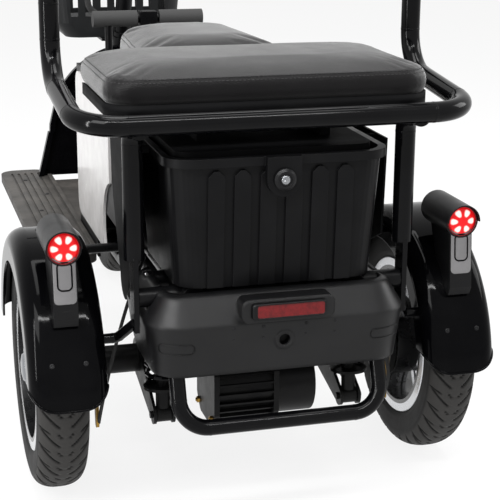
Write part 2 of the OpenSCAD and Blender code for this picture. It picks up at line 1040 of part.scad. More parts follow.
module leg_shield()
    color("#121213")
        difference() {
            union() {
                translate([0, shield_y + shield_t, 0])
                    rearward() linear_extrude(shield_t) shield_outline(0);
                translate([0, shield_y + 1, 0])
                    rearward()
                        linear_extrude(12)
                            difference() {
                                shield_outline(0);
                                shield_outline(shield_roll);
                            }
                // Raised middle over the neck
                translate([0, shield_y + 1, 0])
                    rearward()
                        linear_extrude(46)
                            rounded_rect(-60, 60, floor_z + seat_gap, 500, 24);
            }
            rod([0, front_cross_y, cross_z], neck_end(), neck_r + 2);
        }

// Seat pedestal: front wall, side walls and top, open below and towards the box
module seat_pedestal()
    color("#1b1b1d")
        difference() {
            translate([-pedestal_half, pedestal_back, pedestal_foot])
                cube([2 * pedestal_half, pedestal_front - pedestal_back, pedestal_top - pedestal_foot]);
            translate([-pedestal_half + pedestal_wall, pedestal_back - 1, pedestal_foot - 1])
                cube([
                    2 * (pedestal_half - pedestal_wall),
                    pedestal_front - pedestal_back + 1 - pedestal_wall,
                    pedestal_top - pedestal_foot + 1 - pedestal_wall
                ]);
            // Side walls stop above the rear fender stays
            translate([-pedestal_half - 1, pedestal_back - 1, pedestal_foot - 1])
                cube([2 * pedestal_half + 2, 230, rail_z - pedestal_foot + 40]);
        }

module side_panel(side)
    color("#e9e9e9")
        on_side(side)
            translate([pedestal_half + seat_gap, 0, 0])
                across()
                    linear_extrude(panel_t)
                        difference() {
                            rounded_rect(
                                pedestal_back + 60,
                                pedestal_front - 14,
                                rail_z - 26,
                                pedestal_top - 10,
                                30
                            );
                            translate([pedestal_back + 40, rail_z + 20]) circle(90);
                        }

module side_panel_left() side_panel(-1);
module side_panel_right() side_panel(1);

// Black cover behind each white panel: it narrows to a round tail ahead of the bumper's wing
module side_cover(side)
    color("#0c0c0d")
        on_side(side) {
            translate([cover_x, 0, 0])
                across()
                    linear_extrude(cover_t) {
                        translate(cover_tail) circle(cover_tail_r);
                        polygon([
                            [-175, box_top],
                            [95, box_top],
                            [70, 470],
                            [cover_tail.x + cover_tail_r, cover_tail.y],
                            [cover_tail.x - cover_tail_r, cover_tail.y],
                            [-84, 402],
                            [-165, 440]
                        ]);
                    }
            // Bosses that bear on the box's flange
            for (y = cover_boss_y)
                rod(
                    [box_half + flange_out + seat_gap, y, box_top - flange_t / 2],
                    [cover_x + 1, y, box_top - flange_t / 2],
                    cover_boss_r
                );
        }

module side_cover_left() side_cover(-1);
module side_cover_right() side_cover(1);

module battery_block()
    color("#303236")
        translate([-battery.x / 2, pivot_y - 60, pedestal_foot])
            cube(battery);

// Driver's cushion, narrower towards the front
module driver_seat()
    color("#1a1a1c")
        translate([0, 0, pedestal_top + seat_gap])
            hull() {
                for (s = [-1, 1]) {
                    translate([s * (driver_half - 40), 192, 0])
                        cylinder(h = driver_t, r = 40, $fn = hull_fn);
                    translate([s * (driver_half - 68), driver_front - 45, 0])
                        cylinder(h = driver_t, r = 45, $fn = hull_fn);
                }
            }

// Storage box: tapered walls, a flange round the mouth and ribs on the rear wall
module box_prism(inset, z0, z1) {
    slope = box_taper / (box_top - box_foot);
    hull()
        for (z = [z0, z1]) {
            t = (box_top - z) * slope + inset;
            translate([0, 0, z - 0.01])
                for (x = [-1, 1], y = [-box_back + box_corner, box_front - box_corner])
                    translate([
                        x * (box_half - box_corner - t),
                        y < 0 && y == -box_back + box_corner ? y + t : y - t,
                        0
                    ])
                        cylinder(h = 0.02, r = box_corner, $fn = hull_fn);
        }
}

module storage_box()
    color("#19191a") {
        flange_half = box_half + flange_out;
        difference() {
            union() {
                box_prism(0, box_foot, box_top);
                rounded_block(
                    -flange_half, flange_half,
                    -box_back - flange_out, box_front + flange_out,
                    box_top - flange_t, box_top, box_corner + flange_out
                );
                // Broad ribs with chamfered tops that follow the lean of the rear wall
                for (i = [0 : ribs - 1])
                    translate([
                        -rib_half + i * 2 * rib_half / (ribs - 1),
                        -box_back + box_taper + box_wall / 2,
                        box_foot + 1
                    ])
                        rotate([box_lean, 0, 0])
                            rearward()
                                linear_extrude(box_wall / 2 + rib_out)
                                    box_rib(box_top - flange_t - box_foot - 6);
                lock_boss();
            }
            box_prism(box_wall, box_foot + box_wall, box_top + 40);
        }
    }

module box_rib(h)
    polygon([
        [-rib_w / 2, 0],
        [rib_w / 2, 0],
        [rib_w / 2, h - rib_cut],
        [rib_w / 2 - rib_cut, h],
        [-rib_w / 2 + rib_cut, h],
        [-rib_w / 2, h - rib_cut]
    ]);

module lock_boss()
    translate([0, -box_back + 3, 0])
        rearward()
            linear_extrude(19) {
                translate([0, box_top - 34]) circle(27);
                translate([-27, box_top - 34]) square([54, 34]);
            }

module box_lock()
    color("#55575a")
        translate([0, -box_back - 16 - seat_gap, box_top - 34])
            rearward()
                rotate_extrude()
                    polygon([[0, 0], [17, 0], [17, 4], [13, 7], [10, 7], [10, 5], [0, 5]]);

// Ears with the hinge pins, on the back edge of the pedestal's top
module hinge_ears()
    color("#202022")
        both_sides() {
            for (s = [-1, 1])
                translate([hinge_x + s * (knuckle_w / 2 + 1 + ear_t / 2) - ear_t / 2, 0, 0])
                    across()
                        linear_extrude(ear_t) {
                            translate([hinge_y, hinge_z]) circle(knuckle_r);
                            translate([hinge_y - knuckle_r, pedestal_top])
                                square([2 * knuckle_r, hinge_z - pedestal_top]);
                        }
            rod(
                [hinge_x - knuckle_w / 2 - 2, hinge_y, hinge_z],
                [hinge_x + knuckle_w / 2 + 2, hinge_y, hinge_z],
                hinge_pin_r
            );
        }

// Pan under the rear cushion, with hinge knuckles at the front
module seat_pan()
    color("#161617")
        difference() {
            union() {
                rounded_block(
                    -seat_half + 8, seat_half - 8, -seat_back + 8, hinge_y - 12,
                    pan_under, pan_under + pan_t, 30
                );
                both_sides()
                    translate([hinge_x - knuckle_w / 2, 0, 0])
                        across()
                            linear_extrude(knuckle_w) {
                                translate([hinge_y, hinge_z]) circle(knuckle_r);
                                polygon([
                                    [hinge_y - knuckle_r, hinge_z],
                                    [hinge_y, hinge_z + knuckle_r],
                                    [hinge_y - 14, pan_under + pan_t],
                                    [hinge_y - 40, pan_under + pan_t],
                                    [hinge_y - 40, pan_under]
                                ]);
                            }
                // Risers that carry the box lid
                both_sides()
                    translate([92, -160, lid_top() + seat_gap])
                        cube([16, 140, pan_under - lid_top() - seat_gap + 1]);
            }
            both_sides()
                rod(
                    [hinge_x - knuckle_w, hinge_y, hinge_z],
                    [hinge_x + knuckle_w, hinge_y, hinge_z],
                    hinge_pin_r + run_gap
                );
        }

function lid_top() = box_top - lid_drop + lid_t;

// Lid inside the mouth of the storage box
module box_lid()
    color("#0e0e0f") {
        inner = box_half - box_wall - lid_gap;
        difference() {
            rounded_block(
                -inner, inner,
                -box_back + box_wall + lid_gap + 7, box_front - box_wall - lid_gap + 4,
                lid_top() - lid_t, lid_top(), 28
            );
            rounded_block(
                -inner + 14, inner - 14,
                -box_back + box_wall + lid_gap + 21, box_front - box_wall - lid_gap - 10,
                lid_top() - lid_t - 1, lid_top() - 5, 16
            );
        }
    }

module rear_seat()
    color("#1a1a1c")
        rounded_block(
            -seat_half, seat_half, -seat_back, seat_front,
            seat_z, seat_z + seat_t, 50
        );

// Rail round the rear seat: a loop at seat height, front uprights, arm rests and a back rail
module seat_rail()
    color("#0b0b0c") {
        // Corners of the right half, from the seat loop's crossing to the back rail
        right = [
            [seat_rail_x, rail_back, rail_low_z],
            [seat_rail_x, rail_front_y, rail_front_z],
            [seat_rail_x, rail_front_y, rail_arm_z],
            [seat_rail_x, rail_back, back_rail_z]
        ];
        left = [for (i = [len(right) - 1 : -1 : 0]) [-right[i].x, right[i].y, right[i].z]];
        crossing = [[0, rail_back, rail_low_z]];
        post = [
            [post_x, rear_cross_y, rail_z + 62],
            [post_x, rear_cross_y, stub_z],
            [post_x, rail_back, stub_z]
        ];
        bent_tube(concat(crossing, right, left, crossing), seat_rail_r, rail_turn, closed = true);
        both_sides() {
            bent_tube(post, seat_rail_r, 34);
            // Flattened foot of each post, beside the end of the rear cross member
            translate([post_x - tab_t / 2 + seat_gap, rear_cross_y - seat_rail_r, rear_stay_z - 12])
                cube([tab_t, 2 * seat_rail_r, rail_z + 66 - rear_stay_z + 12]);
            // Stay to the fender
            bent_tube([
                [post_x, rear_cross_y, rear_stay_z],
                [post_x + 22, rear_stay_end.x, rear_stay_end.y],
                [fender_x - fender_w / 2 - seat_gap, rear_stay_end.x, rear_stay_end.y]
            ], stay_r, stay_r + 3);
        }
    }

module back_pad()
    color("#1a1a1c")
        translate([0, rail_back + seat_rail_r + seat_gap + pad_t, 0])
            rearward()
                linear_extrude(pad_t)
                    rounded_rect(-pad_half, pad_half, pad_z0, pad_z1, 45);

// Knee-high bar with two grips, on legs from the leg shield
module grab_bar()
    color("#131314") {
        rod([-grab_half + 4, grab_y, grab_z], [grab_half - 4, grab_y, grab_z], grab_r);
        both_sides() {
            bent_tube(
                [
                    [grab_leg_x, grab_y, grab_z],
                    [grab_leg_x, grab_y, grab_foot_z + 32],
                    [grab_leg_x, shield_y - seat_gap - 2, grab_foot_z]
                ],
                stay_r,
                34
            );
            translate([grab_leg_x, shield_y - seat_gap, grab_foot_z])
                rearward()
                    cylinder(h = 5, r = 20);
        }
        translate([-18, grab_y - 17, grab_z - 15]) cube([36, 34, 30]);
    }

module grab_grips()
    color("#1e1e1f")
        both_sides()
            difference() {
                rod([24, grab_y, grab_z], [grab_half, grab_y, grab_z], grip_r);
                rod([20, grab_y, grab_z], [grab_half - 4 + seat_gap, grab_y, grab_z], grab_r + seat_gap);
                translate([grab_leg_x - 10, grab_y - 10, grab_z - 40]) cube([20, 20, 40]);
            }

// Slotted basket with a rounded foot
module basket_prism(inset, z0, z1) {
    foot_in = basket_taper + inset;
    corner = 38;
    hull()
        for (row = [[z0, foot_in + 26], [z0 + 34, foot_in], [z1, inset]])
            for (x = [-1, 1], y = [0, 1])
                translate([
                    x * (basket_half - corner - row[1]),
                    basket_y + (y == 0 ? corner + inset : basket_deep - corner - row[1]),
                    row[0]
                ])
                    cylinder(h = 0.02, r = corner, $fn = hull_fn);
}

module basket()
    color("#3a3b3d")
        difference() {
            basket_prism(0, basket_z, basket_z + basket_h);
            basket_prism(basket_wall, basket_z + basket_wall, basket_z + basket_h + 1);
            // Rows of upright slots through the walls
            cols = 7;
            rows = 2;
            pitch = (basket_half - 60) * 2 / (cols - 1);
            slot_h = (basket_h - 80) / rows - 14;
            for (i = [0 : cols - 1], j = [0 : rows - 1])
                translate([
                    -basket_half + 60 + i * pitch - 9,
                    basket_y - 10,
                    basket_z + 50 + j * (slot_h + 14)
                ])
                    cube([18, basket_deep + 40, slot_h]);
            for (i = [0 : 3], j = [0 : rows - 1])
                translate([
                    -basket_half - 10,
                    basket_y + 48 + i * (basket_deep - 96 - 18) / 3,
                    basket_z + 50 + j * (slot_h + 14)
                ])
                    cube([2 * basket_half + 20, 18, slot_h]);
        }

// Fork, crown and steering column
module fork()
    color("#1c1c1e")
        steered() {
            difference() {
                union() {
                    for (s = [-1, 1])
                        translate([s * leg_x, 0, -24]) cylinder(h = crown_s + crown_t + 24, r = leg_r);
                    rounded_block(
                        -leg_x - leg_r - 6, leg_x + leg_r + 6, -leg_r - 8, leg_r + 8,
                        crown_s, crown_s + crown_t, 18
                    );
                    translate([0, 0, front_fender_r + seat_gap])
                        cylinder(h = crown_s - front_fender_r, r = 14);
                }
                translate([-leg_x - leg_r - 1, 0, 0])
                    rotate([0, 90, 0])
                        cylinder(h = 2 * (leg_x + leg_r + 1), r = front_axle_r + run_gap);
            }
            translate([0, 0, crown_s]) cylinder(h = stem_top + 1 - crown_s, r = column_r);
            translate([0, 0, crown_s + crown_t - 1])
                cylinder(h = head_low - crown_s - crown_t + 1 - seat_gap, r = head_r - 2);
            translate([0, 0, head_high + seat_gap]) cylinder(h = 12, r = head_r - 2);
            translate([0, 0, head_high + 12]) cylinder(h = 190, r = sleeve_r);
            difference() {
                translate([-clamp.x / 2, -clamp.y / 2, stem_top]) cube(clamp);
                translate([-clamp.x, 0, bar_reach])
                    rotate([0, 90, 0])
                        cylinder(h = 2 * clamp.x, r = bar_r + run_gap);
            }
        }

module front_axle()
    color("#9a9ca0")
        translate([0, wheelbase, axle_z]) {
            across()
                translate([0, 0, -leg_x - leg_r - 8])
                    cylinder(h = 2 * (leg_x + leg_r + 8), r = front_axle_r);
            both_sides()
                across() {
                    translate([0, 0, front_hub_half + 1])
                        cylinder(h = leg_x - leg_r - front_hub_half - 1 - seat_gap, r = 11);
                    translate([0, 0, leg_x + leg_r + seat_gap])
                        cylinder(h = 7, r = 10);
                }
        }

module front_fender()
    color("#0d0d0e")
        translate([0, wheelbase, axle_z])
            across()
                rotate(front_fender_from)
                    rotate_extrude(angle = front_fender_to - front_fender_from)
                        difference() {
                            fender_channel(front_fender_half, front_fender_r, 40, 24);
                            fender_channel(
                                front_fender_half - fender_wall,
                                front_fender_r - fender_wall,
                                60,
                                24 - fender_wall
                            );
                        }

// Round headlamp on an arm from the fork crown
module headlamp()
    color("#141415")
        steered() {
            translate([0, 96, 300])
                rotate([-90 - rake, 0, 0])
                    difference() {
                        rotate_extrude()
                            polygon([[0, -52], [20, -50], [38, -38], [48, -12], [50, 12], [0, 12]]);
                        translate([0, 0, 2]) cylinder(h = 20, r = 45);
                    }
            translate([-10, leg_r + 8 + seat_gap, crown_s + 4]) cube([20, 50, 20]);
        }

module headlamp_lens()
    color("#e8eef2")
        steered()
            translate([0, 96, 300])
                rotate([-90 - rake, 0, 0])
                    translate([0, 0, 2 + seat_gap])
                        rotate_extrude()
                            polygon([[0, 0], [45 - seat_gap, 0], [45 - seat_gap, 9], [30, 15], [0, 18]]);

// Handlebar: a straight middle in the clamp, rising and swept back to the grips
function bar_path(s) = [
    [s * 85, 0, bar_reach],
    [s * 190, -bar_sweep * 0.35, bar_reach + bar_rise],
    [s * bar_half, -bar_sweep, bar_reach + bar_rise]
];
function bar_end(s) = bar_path(s)[2];
function bar_dir(s) = unit(bar_path(s)[2] - bar_path(s)[1]);

module handlebar()
    color("#18181a")
        steered()
            bent_tube(
                concat([for (i = [2 : -1 : 0]) bar_path(-1)[i]], bar_path(1)), bar_r, 50
            );

module hand_grips()
    color("#1e1e1f")
        steered()
            for (s = [-1, 1])
                difference() {
                    rod(bar_end(s) - bar_dir(s) * grip_l, bar_end(s) + bar_dir(s) * 5, grip_r);
                    rod(
                        bar_end(s) - bar_dir(s) * (grip_l + 10),
                        bar_end(s) + bar_dir(s) * seat_gap,
                        bar_r + seat_gap
                    );
                }

module brake_levers()
    color("#2c2c2e")
        steered()
            for (s = [-1, 1]) {
                root = bar_end(s) - bar_dir(s) * (grip_l + 16);
                difference() {
                    union() {
                        rod(root - bar_dir(s) * 12, root + bar_dir(s) * 12, bar_r + 7);
                        rod(root + [0, 6, 0], root + [s * 8, 44, 0], 7);
                        rod(root + [s * 8, 44, 0], bar_end(s) + [-s * 12, 44, 0], 6);
                        translate(bar_end(s) + [-s * 12, 44, 0]) sphere(8);
                    }
                    rod(root - bar_dir(s) * 20, root + bar_dir(s) * 20, bar_r + run_gap);
                }
            }

module display()
    color("#222326")
        steered()
            translate([0, 0, stem_top + clamp.z + seat_gap])
                rounded_block(-55, 55, -36, 30, 0, 26, 14);

// Sleeved cables from the handlebar down to the foot of the column
module cable_loom()
    color("#0c0c0d")
        steered()
            bent_tube(
                [
                    [-70, -bar_r - 5.7, bar_reach - 4],
                    [-70, -30, bar_reach - 60],
                    [-100, -20, 620],
                    [-84, -10, 520],
                    [-sleeve_r - 5, 0, 470]
                ],
                7,
                40
            );

placed() main_frame();
placed() rear_axle();
placed() motor();
placed() shock_dampers();
placed() shock_springs();
placed() brake_arms();
placed() rear_guard();
placed() bumper();
placed() reflector();
placed() fender_left();
placed() fender_right();
placed() lamp_left();
placed() lamp_right();
placed() lens_left();
placed() lens_right();
placed() foot_board_left();
placed() foot_board_right();
placed() floor_plate();
placed() leg_shield();
placed() seat_pedestal();
placed() side_panel_left();
placed() side_panel_right();
placed() side_cover_left();
placed() side_cover_right();
placed() battery_block();
placed() driver_seat();
placed() storage_box();
placed() box_lock();
placed() hinge_ears();
placed() seat_rail();
placed() back_pad();
placed() box_lid();
placed() seat_pan();
placed() rear_seat();
placed() grab_bar();
placed() grab_grips();
placed() basket();
placed() tyre_rear(-1);  // tyre_rear_left
placed() wheel_rear(-1);  // wheel_rear_left
placed() tyre_rear(1);  // tyre_rear_right
placed() wheel_rear(1);  // wheel_rear_right
placed() tyre_front();
placed() wheel_front();
placed() fork();
placed() front_axle();
placed() front_fender();
placed() headlamp();
placed() headlamp_lens();
placed() handlebar();
placed() hand_grips();
placed() brake_levers();
placed() display();
placed() cable_loom();
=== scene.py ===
"""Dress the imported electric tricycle: soft seats, treaded tyres, lamps, trim, finishes and a plain studio."""

from __future__ import annotations

import json
import logging
import math
from dataclasses import dataclass, field
from enum import Enum
from typing import Any, Sequence

import bmesh
import bpy
import numpy as np
from mathutils import Matrix, Vector
from mathutils.bvhtree import BVHTree

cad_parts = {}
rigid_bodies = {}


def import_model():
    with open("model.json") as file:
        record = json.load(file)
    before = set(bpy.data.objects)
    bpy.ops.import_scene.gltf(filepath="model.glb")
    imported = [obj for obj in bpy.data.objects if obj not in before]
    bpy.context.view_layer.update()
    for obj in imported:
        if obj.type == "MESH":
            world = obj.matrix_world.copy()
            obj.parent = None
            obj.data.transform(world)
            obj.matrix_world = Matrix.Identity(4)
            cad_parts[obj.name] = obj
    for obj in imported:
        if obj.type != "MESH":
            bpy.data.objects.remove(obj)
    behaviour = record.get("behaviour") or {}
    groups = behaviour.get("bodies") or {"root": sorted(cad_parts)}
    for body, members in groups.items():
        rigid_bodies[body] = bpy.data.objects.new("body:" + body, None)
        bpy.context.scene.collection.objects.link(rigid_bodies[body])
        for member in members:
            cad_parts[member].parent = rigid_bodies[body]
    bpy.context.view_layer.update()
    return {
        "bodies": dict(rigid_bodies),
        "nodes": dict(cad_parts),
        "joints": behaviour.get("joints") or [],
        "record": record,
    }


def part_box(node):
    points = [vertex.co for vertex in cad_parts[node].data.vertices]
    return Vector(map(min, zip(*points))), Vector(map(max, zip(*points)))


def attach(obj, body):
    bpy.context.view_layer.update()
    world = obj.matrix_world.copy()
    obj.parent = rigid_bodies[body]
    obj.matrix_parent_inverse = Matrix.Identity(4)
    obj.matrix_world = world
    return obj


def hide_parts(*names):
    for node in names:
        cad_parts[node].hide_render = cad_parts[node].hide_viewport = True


LOG = logging.getLogger("electric_tricycle")
MM = 0.001
# The source puts the rear axle at y = 0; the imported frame's origin lies this far ahead of it
AXLE_BACK = 0.54825
# Height of the axles and distance between them, in millimetres
AXLE_HEIGHT = 202.5
WHEELBASE = 1200.0

Array = np.ndarray


def row(x: float, y: float, z: float) -> Array:
    """Turn millimetres measured from the rear axle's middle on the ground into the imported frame's metres.

    Args:
        x: distance to the right.
        y: distance ahead of the rear axle.
        z: height above the ground.

    Returns:
        The point in metres.
    """
    return np.array([x * MM, y * MM - AXLE_BACK, z * MM])


def linear(code: str) -> tuple[float, float, float, float]:
    """Turn an sRGB hex colour into linear RGBA.

    Args:
        code: six hex digits after a hash.

    Returns:
        Linear red, green, blue and a full alpha.
    """
    parts = np.array([int(code[i : i + 2], 16) for i in (1, 3, 5)]) / 255.0
    low, high = parts / 12.92, ((parts + 0.055) / 1.055) ** 2.4
    return (*np.where(parts <= 0.04045, low, high).tolist(), 1.0)


# Meshes worked out as arrays


def smooth_step(low: float, high: float, value: Array) -> Array:
    """Rise smoothly from 0 at low to 1 at high: 3t squared minus 2t cubed.

    Args:
        low: where the rise starts.
        high: where it ends.
        value: the numbers to map.

    Returns:
        Values from 0 to 1.
    """
    t = np.clip((value - low) / (high - low), 0.0, 1.0)
    return t * t * (3.0 - 2.0 * t)


def grid_faces(rows: int, cols: int, wrap_rows: bool, wrap_cols: bool) -> Array:
    """List the quads of a grid of points numbered row by row.

    Args:
        rows: number of rows.
        cols: number of points in a row.
        wrap_rows: whether the last row joins the first.
        wrap_cols: whether the last column joins the first.

    Returns:
        An array of four indices a face.
    """
    r = np.arange(rows if wrap_rows else rows - 1)
    c = np.arange(cols if wrap_cols else cols - 1)
    i, j = np.meshgrid(r, c, indexing="ij")
    down, along = (i + 1) % rows, (j + 1) % cols
    return np.stack(
        [i * cols + j, i * cols + along, down * cols + along, down * cols + j], -1
    ).reshape(-1, 4)


def new_object(
    name: str, points: Array, faces: Sequence[Sequence[int]], uv: Array | None = None
) -> bpy.types.Object:
    """Make a smooth mesh object from arrays, with its place in its mesh.

    Args:
        name: the object's name.
        points: an array of points, three numbers each.
        faces: point indices of each face.
        uv: optional map, two numbers a point.

    Returns:
        The linked object.
    """
    mesh = bpy.data.meshes.new(name)
    mesh.from_pydata(points.reshape(-1, 3).tolist(), [], [list(map(int, f)) for f in faces])
    if uv is not None:
        layer = mesh.uv_layers.new(name="pattern")
        corners = np.empty(len(mesh.loops), dtype=np.int32)
        mesh.loops.foreach_get("vertex_index", corners)
        layer.data.foreach_set("uv", uv.reshape(-1, 2)[corners].astype(np.float32).ravel())
    mesh.update()
    mesh.shade_smooth()
    piece = bpy.data.objects.new(name, mesh)
    bpy.context.scene.collection.objects.link(piece)
    return piece


def face_outwards(piece: bpy.types.Object) -> None:
    """Point a closed mesh's faces outwards.

    Args:
        piece: the object to change.
    """
    work = bmesh.new()
    work.from_mesh(piece.data)
    bmesh.ops.recalc_face_normals(work, faces=work.faces)
    work.to_mesh(piece.data)
    work.free()
    piece.data.shade_smooth()


def copies(points: Array, faces: Array, spots: Array, turns: Array) -> tuple[Array, Array]:
    """Repeat one small shape at many spots as one set of arrays.

    Args:
        points: the shape's points.
        faces: its faces, all with the same number of corners.
        spots: where each copy goes.
        turns: a 3 by 3 rotation for each copy.

    Returns:
        All the points and all the faces.
    """
    every = np.einsum("nij,pj->npi", turns, points) + spots[:, None, :]
    shift = (np.arange(len(spots)) * len(points))[:, None, None]
    return every.reshape(-1, 3), (faces[None] + shift).reshape(-1, faces.shape[1])


def axes_from(normals: Array, along: Array) -> Array:
    """Build rotations whose local z is each normal and whose local x lies nearest to a direction.

    Args:
        normals: one direction for each copy.
        along: one direction for each copy, or a single one.

    Returns:
        An array of 3 by 3 rotations.
    """
    z = normals / np.linalg.norm(normals, axis=-1, keepdims=True)
    x = along - (along * z).sum(-1, keepdims=True) * z
    x = x / np.linalg.norm(x, axis=-1, keepdims=True)
    return np.stack([x, np.cross(z, x), z], -1)


def tube(path: Array, radius: float, sides: int, closed: bool, guide: Array) -> tuple[Array, Array]:
    """Carry a circle along a path: centre plus r cos a across and r sin a up.

    Args:
        path: points along the middle.
        radius: radius of the circle.
        sides: points in the circle.
        closed: whether the path returns to its start.
        guide: a direction that the path never runs along.

    Returns:
        Points as rows of circles, and the faces.
    """
    if closed:
        run = np.roll(path, -1, 0) - np.roll(path, 1, 0)
    else:
        run = np.gradient(path, axis=0)
    run = run / np.linalg.norm(run, axis=1, keepdims=True)
    across = np.cross(run, guide)
    across = across / np.linalg.norm(across, axis=1, keepdims=True)
    up = np.cross(across, run)
    a = np.linspace(0.0, 2.0 * math.pi, sides, endpoint=False)
    ring = path[:, None] + radius * (
        np.cos(a)[None, :, None] * across[:, None] + np.sin(a)[None, :, None] * up[:, None]
    )
    faces = grid_faces(len(path), sides, closed, True)
    return ring, faces[:, ::-1]


def rounded_outline(half_x: float, half_y: float, corner: float, count: int) -> Array:
    """Walk round a rectangle with round corners at an even pace.

    The outline is straight sides joined by quarter circles; points are spread by arc length.

    Args:
        half_x: half width.
        half_y: half depth.
        corner: corner radius.
        count: number of points.

    Returns:
        Points x, y that start at the middle of the right side and go anticlockwise.
    """
    a = np.linspace(0.0, math.pi / 2.0, 16)
    arc = np.stack([np.cos(a), np.sin(a)], 1) * corner
    parts = [np.array([[half_x, 0.0]])]
    for quarter, (sx, sy) in enumerate([(1, 1), (-1, 1), (-1, -1), (1, -1)]):
        c, s = math.cos(quarter * math.pi / 2), math.sin(quarter * math.pi / 2)
        parts.append(arc @ np.array([[c, s], [-s, c]]) + [sx * (half_x - corner), sy * (half_y - corner)])
    parts.append(np.array([[half_x, 0.0]]))
    line = np.concatenate(parts)
    walked = np.concatenate([[0.0], np.cumsum(np.linalg.norm(np.diff(line, axis=0), axis=1))])
    want = np.linspace(0.0, walked[-1], count, endpoint=False)
    return np.stack([np.interp(want, walked, line[:, k]) for k in (0, 1)], 1)


def raised(line: Array, height: float) -> Array:
    """Lift a flat outline to a height.

    Args:
        line: points x, y.
        height: their z.

    Returns:
        Points x, y, z.
    """
    return np.column_stack([line, np.full(len(line), height)])


def side_name(side: float) -> str:
    """Name the side that a sign stands for: left below zero and right above it."""
    return "left" if side < 0 else "right"


# Finishes


def add(
    tree: bpy.types.NodeTree, kind: str, inputs: dict[Any, Any] | None = None, **settings: Any
) -> bpy.types.Node:
    """Add a shader node with its settings, and set or link its inputs.

    Args:
        tree: the node tree.
        kind: the node's type name.
        inputs: values or other nodes' outputs by input name or number.
        settings: properties of the node.

    Returns:
        The node.
    """
    node = tree.nodes.new(kind)
    for key, value in settings.items():
        setattr(node, key, value)
    for key, value in (inputs or {}).items():
        if isinstance(value, bpy.types.NodeSocket):
            tree.links.new(value, node.inputs[key])
        else:
            node.inputs[key].default_value = value
    return node


def worked(tree: bpy.types.NodeTree, operation: str, *parts: Any) -> bpy.types.NodeSocket:
    """Add a maths node and give its value.

    Args:
        tree: the node tree.
        operation: what the node does.
        parts: its inputs in order.

    Returns:
        The node's value.
    """
    return add(tree, "ShaderNodeMath", dict(enumerate(parts)), operation=operation).outputs["Value"]


def ramp(
    tree: bpy.types.NodeTree,
    value: Any,
    start: float,
    stop: float,
    ends: tuple[float, float] = (0.0, 1.0),
    kind: str = "SMOOTHSTEP",
) -> bpy.types.NodeSocket:
    """Map a value from one range to another, held at both ends.

    Args:
        tree: the node tree.
        value: the value to map.
        start: where the ramp begins.
        stop: where it ends.
        ends: what it gives there.
        kind: SMOOTHSTEP or LINEAR.

    Returns:
        The mapped value.
    """
    given = {"Value": value, "From Min": start, "From Max": stop, "To Min": ends[0], "To Max": ends[1]}
    return add(tree, "ShaderNodeMapRange", given, interpolation_type=kind).outputs["Result"]


def noise(
    tree: bpy.types.NodeTree, coord: Any, scale: float, detail: float, roughness: float = 0.5
) -> bpy.types.NodeSocket:
    """Add a soft random pattern.

    Args:
        tree: the node tree.
        coord: where the pattern is read.
        scale: how fine it is.
        detail: number of finer layers.
        roughness: how strong the finer layers are.

    Returns:
        A value from about 0 to 1.
    """
    given = {"Vector": coord, "Scale": scale, "Detail": detail, "Roughness": roughness}
    return add(tree, "ShaderNodeTexNoise", given).outputs["Fac"]


def mixed(tree: bpy.types.NodeTree, share: Any, first: Any, second: Any) -> bpy.types.NodeSocket:
    """Mix two colours by a share.

    Args:
        tree: the node tree.
        share: 0 for the first colour and 1 for the second.
        first: a colour or a socket.
        second: a colour or a socket.

    Returns:
        The mixed colour.
    """
    return add(tree, "ShaderNodeMix", {0: share, 6: first, 7: second}, data_type="RGBA").outputs[2]


class Surface(Enum):
    """How a surface was made, which sets its fine relief."""

    SPRAYED = "orange peel of a sprayed or powder coat"
    GRAINED = "etched grain of a moulding"
    HIDE = "pressed grain of leatherette"
    DRAWN = "fine lines of turning or drawing"
    CURED = "matt skin of cured rubber"


